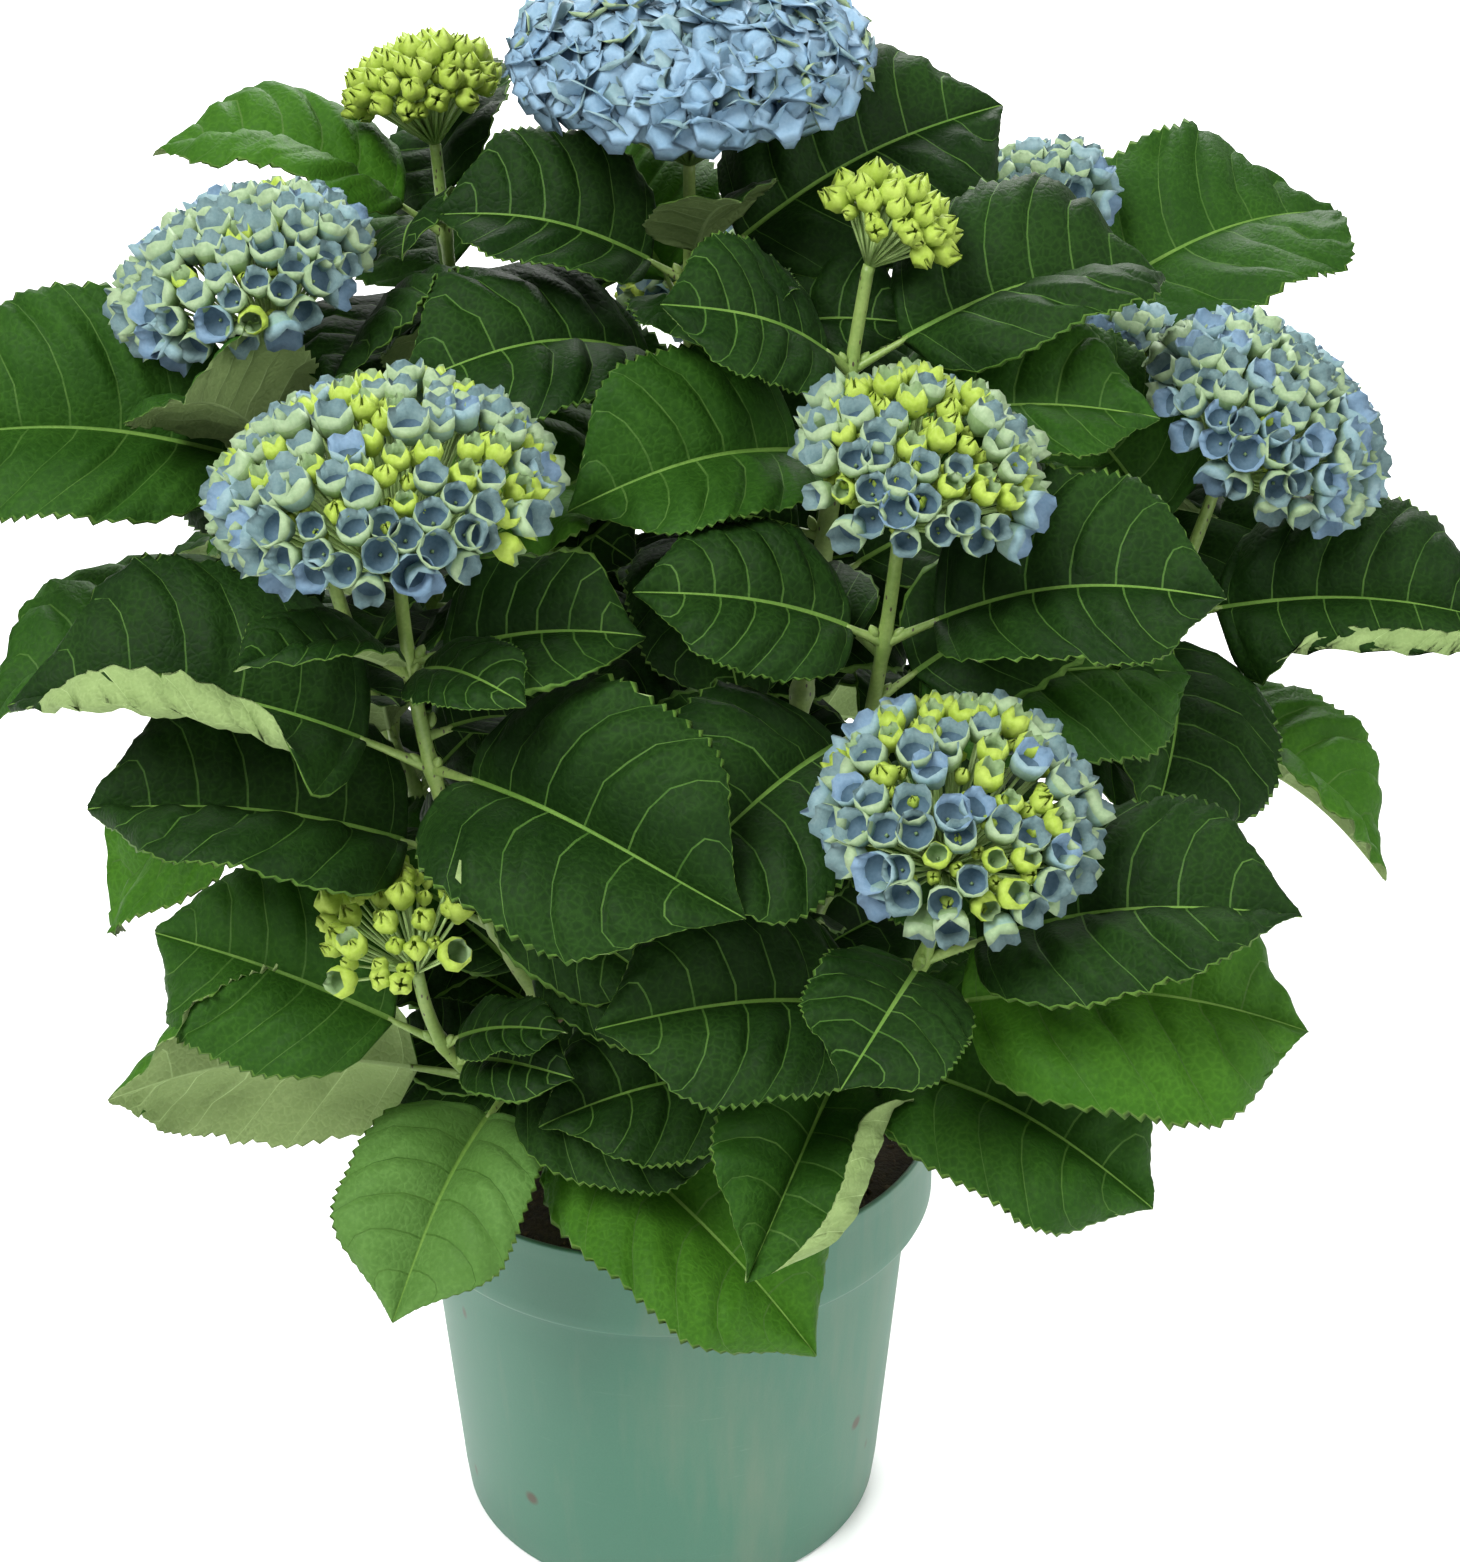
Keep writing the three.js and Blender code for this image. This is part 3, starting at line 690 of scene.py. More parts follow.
class Bench:
    """Adds linked nodes to one node tree."""

    def __init__(self, tree: bpy.types.NodeTree) -> None:
        """Works on a tree."""
        self.tree = tree

    @classmethod
    def group(cls, name: str, kind: str, inputs: dict[str, str], outputs: dict[str, str]) -> "Bench":
        """Starts a node group.

        Args:
            name: the group's name.
            kind: its type name.
            inputs: the type of each input, by name.
            outputs: the type of each output, by name.

        Returns:
            A bench for its tree.
        """
        tree = bpy.data.node_groups.new(name, kind)
        for side, sockets in (("INPUT", inputs), ("OUTPUT", outputs)):
            for label, socket in sockets.items():
                tree.interface.new_socket(label, in_out=side, socket_type=f"NodeSocket{socket}")
        return cls(tree)

    def feed(self, node: bpy.types.Node, inputs: Inputs) -> None:
        """Gives a node its inputs.

        Args:
            node: the node.
            inputs: for each input, by name or number, its value or the output that feeds it.
        """
        for key, value in inputs.items():
            socket = node.inputs[key]
            if isinstance(value, Value):
                self.tree.links.new(value.socket, socket)
            else:
                socket.default_value = (*value, 1.0) if socket.type == "RGBA" else value

    def close(self, outputs: Inputs) -> None:
        """Ends a node group with its outputs."""
        self.feed(self.tree.nodes.new("NodeGroupOutput"), outputs)

    def put(self, kind: str, inputs: Inputs | None = None, output: int | str = 0, **settings: Any) -> Value:
        """Adds one node.

        Args:
            kind: the node's type name.
            inputs: its inputs, as in feed.
            output: the output to give back.
            settings: the node's own properties.

        Returns:
            An output of the new node.
        """
        node = self.tree.nodes.new(kind)
        for name, value in settings.items():
            setattr(node, name, value)
        self.feed(node, inputs or {})
        return Value(self, node, output)

    def math(self, operation: str, a: Any, b: Any = 0.0, clamp: bool = False) -> Value:
        """The result of one sum in shader or geometry nodes."""
        return self.put("ShaderNodeMath", {0: a, 1: b}, operation=operation, use_clamp=clamp)

    def vector(self, operation: str, a: Any, b: Any = (0.0, 0.0, 0.0)) -> Value:
        """The result of one sum on vectors, or of scaling one, or its length."""
        second = "Scale" if operation == "SCALE" else 1
        output = "Value" if operation in ("LENGTH", "DISTANCE") else 0
        return self.put("ShaderNodeVectorMath", {0: a, second: b}, output, operation=operation)

    def xyz(self, x: Any, y: Any, z: Any) -> Value:
        """A vector from its three parts."""
        return self.put("ShaderNodeCombineXYZ", {0: x, 1: y, 2: z})

    def random(self, seed: Any = 0, low: Any = 0.0, high: Any = 1.0) -> Value:
        """A random number, or vector, for each point.

        Args:
            seed: its seed.
            low: the lowest number, or a tuple of them.
            high: the highest, in the same form.

        Returns:
            The random field.
        """
        is_vector = isinstance(low, tuple)
        first = 0 if is_vector else 2
        kind = "FLOAT_VECTOR" if is_vector else "FLOAT"
        inputs = {first: low, first + 1: high, "Seed": seed}
        return self.put("FunctionNodeRandomValue", inputs, 0 if is_vector else 1, data_type=kind)

    def place(self) -> Value:
        """The place of a point of the surface, in metres."""
        return self.put("ShaderNodeTexCoord", output="Object")

    def noise(self, place: Any, scale: Any, detail: float, roughness: float = 0.5) -> Value:
        """Soft noise about a half."""
        inputs = {"Vector": place, "Scale": scale, "Detail": detail, "Roughness": roughness}
        return self.put("ShaderNodeTexNoise", inputs)

    def remap(self, value: Any, low: float, high: float, to_low: float = 0.0, to_high: float = 1.0) -> Value:
        """A value moved from one range to another, and held inside it."""
        inputs = {"Value": value, "From Min": low, "From Max": high, "To Min": to_low, "To Max": to_high}
        return self.put("ShaderNodeMapRange", inputs, "Result")

    def mix(self, share: Any, a: Any, b: Any) -> Value:
        """A colour between two colours."""
        return self.put("ShaderNodeMix", {"Factor": share, 6: a, 7: b}, 2, data_type="RGBA")

    def dress(
        self, colour: Value, rough: Value, height: Value, bump: tuple[float, float], specular: float
    ) -> None:
        """Feeds the surface shader.

        Args:
            colour: its colour.
            rough: its roughness.
            height: the height of its relief.
            bump: the relief's strength, and its depth in metres.
            specular: how strongly it shines.
        """
        normal = self.put("ShaderNodeBump", {"Strength": bump[0], "Distance": bump[1], "Height": height})
        inputs = {"Base Color": colour, "Roughness": rough, "Normal": normal, "Specular IOR Level": specular}
        self.feed(self.tree.nodes["Principled BSDF"], inputs)


def new_material(name: str) -> tuple[bpy.types.Material, Bench]:
    """A new material and the bench for its nodes."""
    material = bpy.data.materials.new(name)
    material.use_nodes = True
    return material, Bench(material.node_tree)


class Effects:
    """Shader node groups that several finishes share, each built once."""

    def __init__(self) -> None:
        """Builds the groups."""
        self.mottle = self._mottle()
        self.specks = self._specks()

    @staticmethod
    def _mottle() -> bpy.types.NodeTree:
        """Two colours mixed in soft clouds with finer grain, and a height for bump."""
        numbers = dict.fromkeys(("Cloud Scale", "Grain Scale", "Contrast"), "Float")
        results = {"Color": "Color", "Mask": "Float", "Height": "Float"}
        inputs = {"First": "Color", "Second": "Color", **numbers}
        bench = Bench.group("mottle", "ShaderNodeTree", inputs, results)
        given = bench.put("NodeGroupInput")
        place = bench.place()
        cloud = bench.noise(place, given["Cloud Scale"], 3.0)
        grain = bench.noise(place, given["Grain Scale"], 4.0)
        spread = (cloud - 0.5 + (grain - 0.5) * 0.7) * (given["Contrast"] * 2.6)
        mask = bench.math("ADD", spread, 0.5, clamp=True)
        colour = bench.mix(mask, given["First"], given["Second"])
        bench.close({"Color": colour, "Mask": mask, "Height": grain})
        return bench.tree

    @staticmethod
    def _specks() -> bpy.types.NodeTree:
        """Small scattered specks: a mask of spots of one size, thinned by their own chance."""
        numbers = dict.fromkeys(("Scale", "Stretch", "Size", "Share"), "Float")
        bench = Bench.group("specks", "ShaderNodeTree", numbers, {"Mask": "Float"})
        given = bench.put("NodeGroupInput")
        drawn = bench.vector("MULTIPLY", bench.place(), bench.xyz(1.0, 1.0, given["Stretch"]))
        cells = bench.put("ShaderNodeTexVoronoi", {"Vector": drawn, "Scale": given["Scale"]})
        soft = bench.math("MULTIPLY", given["Size"] - cells["Distance"], 14.0, clamp=True)
        chance = bench.put("ShaderNodeSeparateColor", {"Color": cells["Color"]}, "Red")
        bench.close({"Mask": soft * bench.math("LESS_THAN", chance, given["Share"])})
        return bench.tree


@dataclass(frozen=True)
class Finish:
    """A surface with two mottled colours, grain and, where it has them, specks or a net of fine cells."""

    name: str
    first: Colour
    second: Colour
    roughness: float = 0.6
    cloud: float = 60.0
    grain: float = 900.0
    specular: float = 0.5
    bump: float = 0.2
    bump_depth: float = 0.0004
    cells: float = 0.0
    specks: Colour | None = None
    speck_scale: float = 520.0
    speck_size: float = 0.26
    speck_share: float = 0.30
    speck_stretch: float = 0.45
    roughness_range: float = 0.06

    def build(self, effects: Effects) -> bpy.types.Material:
        """Makes the material.

        Args:
            effects: the shared node groups.

        Returns:
            The new material.
        """
        material, bench = new_material(self.name)
        mottle = bench.put("ShaderNodeGroup", {
            "First": self.first, "Second": self.second,
            "Cloud Scale": self.cloud, "Grain Scale": self.grain, "Contrast": 1.0,
        }, node_tree=effects.mottle)
        colour, height = mottle["Color"], mottle["Height"]
        if self.specks:
            mask = bench.put("ShaderNodeGroup", {
                "Scale": self.speck_scale, "Size": self.speck_size,
                "Share": self.speck_share, "Stretch": self.speck_stretch,
            }, node_tree=effects.specks)
            colour = bench.mix(mask, colour, self.specks)
        if self.cells:
            inputs = {"Vector": bench.place(), "Scale": self.cells}
            net = bench.put("ShaderNodeTexVoronoi", inputs, "Distance", feature="DISTANCE_TO_EDGE")
            ridge = bench.remap(net, 0.0, 0.25)
            height = height * 0.5 + ridge
            colour = bench.mix(ridge * 0.6, colour, self.first)
        lowest, highest = self.roughness - self.roughness_range, self.roughness + self.roughness_range
        rough = bench.remap(mottle["Mask"], 0.0, 1.0, lowest, highest)
        bench.dress(colour, rough, height, (self.bump, self.bump_depth), self.specular)
        return material


LEAF: dict[str, float] = {
    "roughness": 0.62, "cloud": 24, "grain": 500, "specular": 0.09, "cells": 330, "bump": 0.32,
}
PALE_LEAF = LEAF | {"roughness": 0.64, "specular": 0.10}
UNDERSIDE = LEAF | {"roughness": 0.75, "cloud": 22, "grain": 900, "specular": 0.08, "bump": 0.4}
SEPAL: dict[str, float] = {"cloud": 120, "specular": 0.2}


class Palette:
    """Every finish of the plant and its potting mix, built on first use."""

    FINISHES = (
        Finish("leaf_dark", (0.0045, 0.019, 0.002), (0.013, 0.043, 0.005), **LEAF),
        Finish("leaf_mid", (0.012, 0.047, 0.004), (0.026, 0.084, 0.008), **LEAF),
        Finish("leaf_bright", (0.024, 0.086, 0.005), (0.046, 0.138, 0.010), **LEAF | {"specular": 0.10}),
        Finish("leaf_pale", (0.060, 0.140, 0.026), (0.095, 0.200, 0.046), **PALE_LEAF),
        Finish("leaf_under", (0.185, 0.265, 0.095), (0.250, 0.340, 0.135), **UNDERSIDE),
        Finish("leaf_midrib", (0.085, 0.180, 0.028), (0.130, 0.240, 0.045), specular=0.12),
        Finish("leaf_vein", (0.034, 0.090, 0.013), (0.062, 0.135, 0.024), specular=0.12),
        Finish("leaf_rim", (0.045, 0.110, 0.014), (0.085, 0.165, 0.026), specular=0.12),
        Finish("leaf_under_vein", (0.260, 0.360, 0.145), (0.310, 0.410, 0.175), 0.75, specular=0.1),
        Finish("stem_green", (0.150, 0.245, 0.050), (0.230, 0.330, 0.085), 0.5, 60, 700, bump=0.3,
               specks=(0.050, 0.040, 0.022)),
        Finish(
            "stem_bark", (0.085, 0.058, 0.032), (0.190, 0.145, 0.085), 0.85, 45, 500,
            bump=0.8, bump_depth=0.0008,
        ),
        Finish(
            "stool_bark", (0.075, 0.052, 0.030), (0.160, 0.120, 0.072), 0.9, 45, 420,
            bump=0.9, bump_depth=0.001,
        ),
        Finish("sepal_lime", (0.265, 0.375, 0.040), (0.345, 0.455, 0.080), **SEPAL),
        Finish("sepal_cream", (0.215, 0.310, 0.170), (0.290, 0.385, 0.225), **SEPAL),
        Finish("sepal_green", (0.165, 0.265, 0.110), (0.235, 0.335, 0.160), **SEPAL),
        Finish("sepal_pale", (0.165, 0.275, 0.235), (0.240, 0.345, 0.300), **SEPAL),
        Finish("sepal_mist", (0.160, 0.265, 0.290), (0.230, 0.335, 0.355), **SEPAL),
        # The next three tints line the insides of cup florets and darken towards the bottom: painted shade in
        # the hollows.
        Finish("sepal_blue", (0.130, 0.220, 0.310), (0.180, 0.280, 0.380), **SEPAL),
        Finish("sepal_slate", (0.105, 0.180, 0.190), (0.160, 0.245, 0.245), 0.65, **SEPAL),
        Finish("sepal_deep", (0.055, 0.105, 0.145), (0.090, 0.150, 0.195), 0.65, 120, specular=0.15),
        Finish("sepal_sky", (0.180, 0.305, 0.420), (0.240, 0.365, 0.475), 0.6, 70, specular=0.2),
        # A little darker than sepal_sky, for the heart of an open floret: painted shade.
        Finish("sepal_dusk", (0.180, 0.305, 0.400), (0.230, 0.360, 0.450), 0.65, 90, specular=0.2),
        Finish("pedicel", (0.260, 0.400, 0.110), (0.360, 0.500, 0.180), 0.55, 120),
        Finish(
            "mix_dark", (0.012, 0.008, 0.005), (0.040, 0.026, 0.016), 0.95, 60, 500,
            bump=1.0, bump_depth=0.002,
        ),
        Finish(
            "mix_crumb", (0.028, 0.018, 0.011), (0.095, 0.060, 0.034), 0.95, 150, bump=0.8, bump_depth=0.001,
        ),
        Finish("mix_grit", (0.420, 0.400, 0.360), (0.560, 0.540, 0.500), 0.9, 150, bump=0.6),
    )

    def __init__(self) -> None:
        """Builds the shared effects and indexes the finishes."""
        self.effects = Effects()
        self.finishes = {finish.name: finish for finish in self.FINISHES}
        self.made: dict[str, bpy.types.Material] = {}

    def material(self, name: str) -> bpy.types.Material:
        """The material of a finish."""
        if name not in self.made:
            self.made[name] = self.finishes[name].build(self.effects)
        return self.made[name]

    def materials(self, names: Sequence[str]) -> list[bpy.types.Material]:
        """The materials of several finishes."""
        return [self.material(name) for name in names]


@dataclass(frozen=True)
class PotFinish:
    """Teal moulded plastic, chalky in patches, with scuffs, fine scratches and mud stains."""

    name: str = "pot_plastic"
    body: Colour = (0.034, 0.126, 0.080)
    faded: Colour = (0.050, 0.150, 0.096)
    chalk: Colour = (0.170, 0.270, 0.205)
    mud: Colour = (0.060, 0.038, 0.022)
    dust: Colour = (0.150, 0.175, 0.120)
    scratch_scale: float = 22.0
    scratch_drawing: Triple = (1.0, 1.0, 14.0)
    patch_scale: float = 14.0
    run_drawing: Triple = (30.0, 30.0, 4.0)
    scuffs: tuple[Triple, ...] = ((-0.0578, -0.0758, 0.0396), (0.0813, -0.0533, 0.0618))
    scuff_size: float = 0.0042
    roughness: float = 0.5

    def build(self, effects: Effects) -> bpy.types.Material:
        """Makes the material.

        Args:
            effects: the shared node groups.

        Returns:
            The new material.
        """
        material, bench = new_material(self.name)
        mottle = bench.put("ShaderNodeGroup", {
            "First": self.body, "Second": self.faded,
            "Cloud Scale": 9.0, "Grain Scale": 1200.0, "Contrast": 0.45,
        }, node_tree=effects.mottle)
        place = bench.place()
        drawn = bench.put("ShaderNodeMapping", {"Vector": place, "Scale": self.scratch_drawing})
        scratch = bench.remap(bench.noise(drawn, self.scratch_scale, 5.0, 0.7), 0.62, 0.72)
        patches = bench.remap(bench.noise(place, self.patch_scale, 3.0), 0.45, 0.7, 0.0, 0.5)
        worn = scratch * patches
        colour = bench.mix(worn, mottle["Color"], self.chalk)
        runs = bench.put("ShaderNodeMapping", {"Vector": place, "Scale": self.run_drawing})
        dirt = bench.remap(bench.noise(runs, 1.0, 5.0, 0.65), 0.50, 0.78, 0.0, 0.42)
        colour = bench.mix(dirt, colour, self.dust)
        for spot in self.scuffs:
            away = bench.vector("DISTANCE", place, spot)
            near = bench.remap(away, self.scuff_size, self.scuff_size * 0.5, 0.0, 0.9)
            colour = bench.mix(near, colour, self.mud)
        stains = bench.put("ShaderNodeGroup", {
            "Scale": 46.0, "Size": 0.11, "Share": 0.10, "Stretch": 0.6,
        }, node_tree=effects.specks)
        colour = bench.mix(stains * 0.75, colour, self.mud)
        height = scratch * -0.4 + mottle["Height"]
        bench.dress(colour, worn * 0.35 + self.roughness, height, (0.12, 0.0003), 0.5)
        return material


# ---------------------------------------- meshes from arrays


@dataclass
class Stock:
    """Corners and faces gathered for one piece, in millimetres. A triangle ends in -1."""

    corners: list[np.ndarray] = field(default_factory=list)
    faces: list[np.ndarray] = field(default_factory=list)
    slots: list[np.ndarray] = field(default_factory=list)
    count: int = 0

    def add(self, corners: np.ndarray, faces: np.ndarray, slots: np.ndarray | int) -> None:
        """Adds a closed shape.

        Args:
            corners: its corners, one a row.
            faces: its faces, four corner numbers a row, the last -1 on a triangle.
            slots: the material slot of each face, or of all.
        """
        faces = np.asarray(faces, int)
        self.corners.append(np.asarray(corners, float).reshape(-1, 3))
        self.faces.append(np.where(faces >= 0, faces + self.count, -1))
        self.slots.append(np.broadcast_to(np.asarray(slots, int), (len(faces),)))
        self.count += len(self.corners[-1])

    def mesh(self, name: str, materials: Sequence[bpy.types.Material]) -> bpy.types.Mesh:
        """Makes the mesh.

        Args:
            name: the mesh's name.
            materials: its material slots, in order.

        Returns:
            A smooth-shaded mesh in metres.
        """
        corners = np.concatenate(self.corners) * MM
        faces = np.concatenate(self.faces)
        real = faces >= 0
        mesh = bpy.data.meshes.new(name)
        mesh.vertices.add(len(corners))
        mesh.vertices.foreach_set("co", corners.astype(np.float32).ravel())
        mesh.loops.add(int(real.sum()))
        mesh.loops.foreach_set("vertex_index", faces[real].astype(np.int32))
        mesh.polygons.add(len(faces))
        starts = np.concatenate([[0], np.cumsum(real.sum(1))[:-1]])
        mesh.polygons.foreach_set("loop_start", starts.astype(np.int32))
        mesh.polygons.foreach_set("material_index", np.concatenate(self.slots).astype(np.int32))
        for material in materials:
            mesh.materials.append(material)
        mesh.update(calc_edges=True)
        mesh.validate()
        mesh.shade_smooth()
        return mesh


def link_item(name: str, data: bpy.types.ID) -> bpy.types.Object:
    """A new object in the scene with its data."""
    item = bpy.data.objects.new(name, data)
    bpy.context.scene.collection.objects.link(item)
    return item


def put_piece(mesh: bpy.types.Mesh, nodes: Sequence[str] = ()) -> bpy.types.Object:
    """Puts a finished mesh into the scene as a piece of the object.

    Args:
        mesh: the piece's mesh, in its place.
        nodes: the solid model's nodes that it stands for.

    Returns:
        The new object.
    """
    piece = link_item(mesh.name, mesh)
    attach(piece, "root")
    if nodes:
        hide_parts(*nodes)
    mesh.calc_loop_triangles()
    LOG.info("%s: %d triangles", mesh.name, len(mesh.loop_triangles))
    return piece


def sheet_faces(rows: int, columns: int, closed: bool = False) -> np.ndarray:
    """Quads of a grid of corners.

    Args:
        rows: the grid's rows.
        columns: its columns.
        closed: whether the last column joins the first.

    Returns:
        The quads, row by row, seen from the side where columns run left to right.
    """
    i, j = np.meshgrid(np.arange(rows - 1), np.arange(columns - (0 if closed else 1)), indexing="ij")
    k = (j + 1) % columns
    quads = np.stack([i * columns + j, i * columns + k, (i + 1) * columns + k, (i + 1) * columns + j], -1)
    return quads.reshape(-1, 4)


def rimmed(rows: int, columns: int) -> tuple[np.ndarray, np.ndarray]:
    """Numbers a thin shell over a grid, whose two sides share the corners of their rim.

    Args:
        rows: the grid's rows.
        columns: its columns.

    Returns:
        Which corners lie inside the rim, and the number of each corner of the underside.
    """
    inner = np.zeros((rows, columns), bool)
    inner[1:-1, 1:-1] = True
    below = np.arange(rows * columns).reshape(rows, columns)
    below[inner] = rows * columns + np.arange(int(inner.sum()))
    return inner, below


def close_rings(rings: np.ndarray, first: np.ndarray, last: np.ndarray) -> Shape:
    """A closed body from rings of corners, with a fan to a point at each end.

    Args:
        rings: the rings in order, each anticlockwise seen from the far end.
        first: the point that closes the first ring.
        last: the point that closes the last ring.

    Returns:
        Its corners and its faces, band by band, then the first fan and the last.
    """
    count, sides = rings.shape[:2]
    around = np.arange(sides)
    following = (around + 1) % sides
    none = np.full(sides, -1)
    base, end = count * sides, (count - 1) * sides
    start_fan = np.stack([following, around, np.full(sides, base), none], -1)
    end_fan = np.stack([end + around, end + following, np.full(sides, base + 1), none], -1)
    corners = np.concatenate([rings.reshape(-1, 3), [first], [last]])
    return corners, np.concatenate([sheet_faces(count, sides, closed=True), start_fan, end_fan])


def tube(points: np.ndarray, radii: np.ndarray, sides: int, flat: float = 1.0) -> Shape:
    """A closed tube along points, with a fan at each end.

    Args:
        points: the tube's centre line.
        radii: its radius at each point, or one for each side too.
        sides: how many sides it has.
        flat: its thickness as a share of its width.

    Returns:
        Its corners and its faces.
    """
    ahead = unit(np.gradient(points, axis=0))
    reference = [1.0, 0.02, 0.03] if abs(ahead[:, 0]).max() < 0.95 else [0.02, 1.0, 0.03]
    side = unit(np.cross(reference, ahead))
    front = np.cross(ahead, side)
    angles = np.arange(sides) * 2 * math.pi / sides
    ring = side[:, None] * np.cos(angles)[:, None] + front[:, None] * np.sin(angles)[:, None] * flat
    return close_rings(points[:, None] + ring * radii.reshape(len(points), -1, 1), points[0], points[-1])


def round_rings(radii: np.ndarray, heights: np.ndarray) -> np.ndarray:
    """Rings about the upright axis.

    Args:
        radii: a row for each ring and a column for each side.
        heights: the same, or one column for all the sides.

    Returns:
        The rings' corners.
    """
    angles = np.arange(radii.shape[1]) * 2 * math.pi / radii.shape[1]
    heights = np.broadcast_to(heights, radii.shape)
    return np.stack([radii * np.cos(angles), radii * np.sin(angles), heights], -1)


def read_all(items: Any, name: str, kind: type, width: int = 1) -> np.ndarray:
    """One property of every item of a mesh, as an array of one kind of number."""
    values = np.empty(len(items) * width, kind)
    items.foreach_get(name, values)
    return values


def join_meshes(name: str, parts: Sequence[bpy.types.Mesh]) -> bpy.types.Mesh:
    """Joins meshes that lie in their places, and their material slots, into one.

    Args:
        name: the joined mesh's name.
        parts: the meshes.

    Returns:
        One mesh with every material once.
    """
    stock = Stock()
    materials: list[bpy.types.Material] = []
    for part in parts:
        corners = read_all(part.vertices, "co", np.float32, 3)
        totals, starts, slots = (
            read_all(part.polygons, name, np.int32) for name in ("loop_total", "loop_start", "material_index")
        )
        loops = read_all(part.loops, "vertex_index", np.int32)
        faces = np.full((len(totals), 4), -1)
        for corner in range(4):
            has = totals > corner
            faces[has, corner] = loops[starts[has] + corner]
        for material in part.materials:
            if material not in materials:
                materials.append(material)
        into = np.array([materials.index(material) for material in part.materials])
        stock.add(corners.reshape(-1, 3) / MM, faces, into[slots])
    return stock.mesh(name, materials)


# ---------------------------------------- leaves


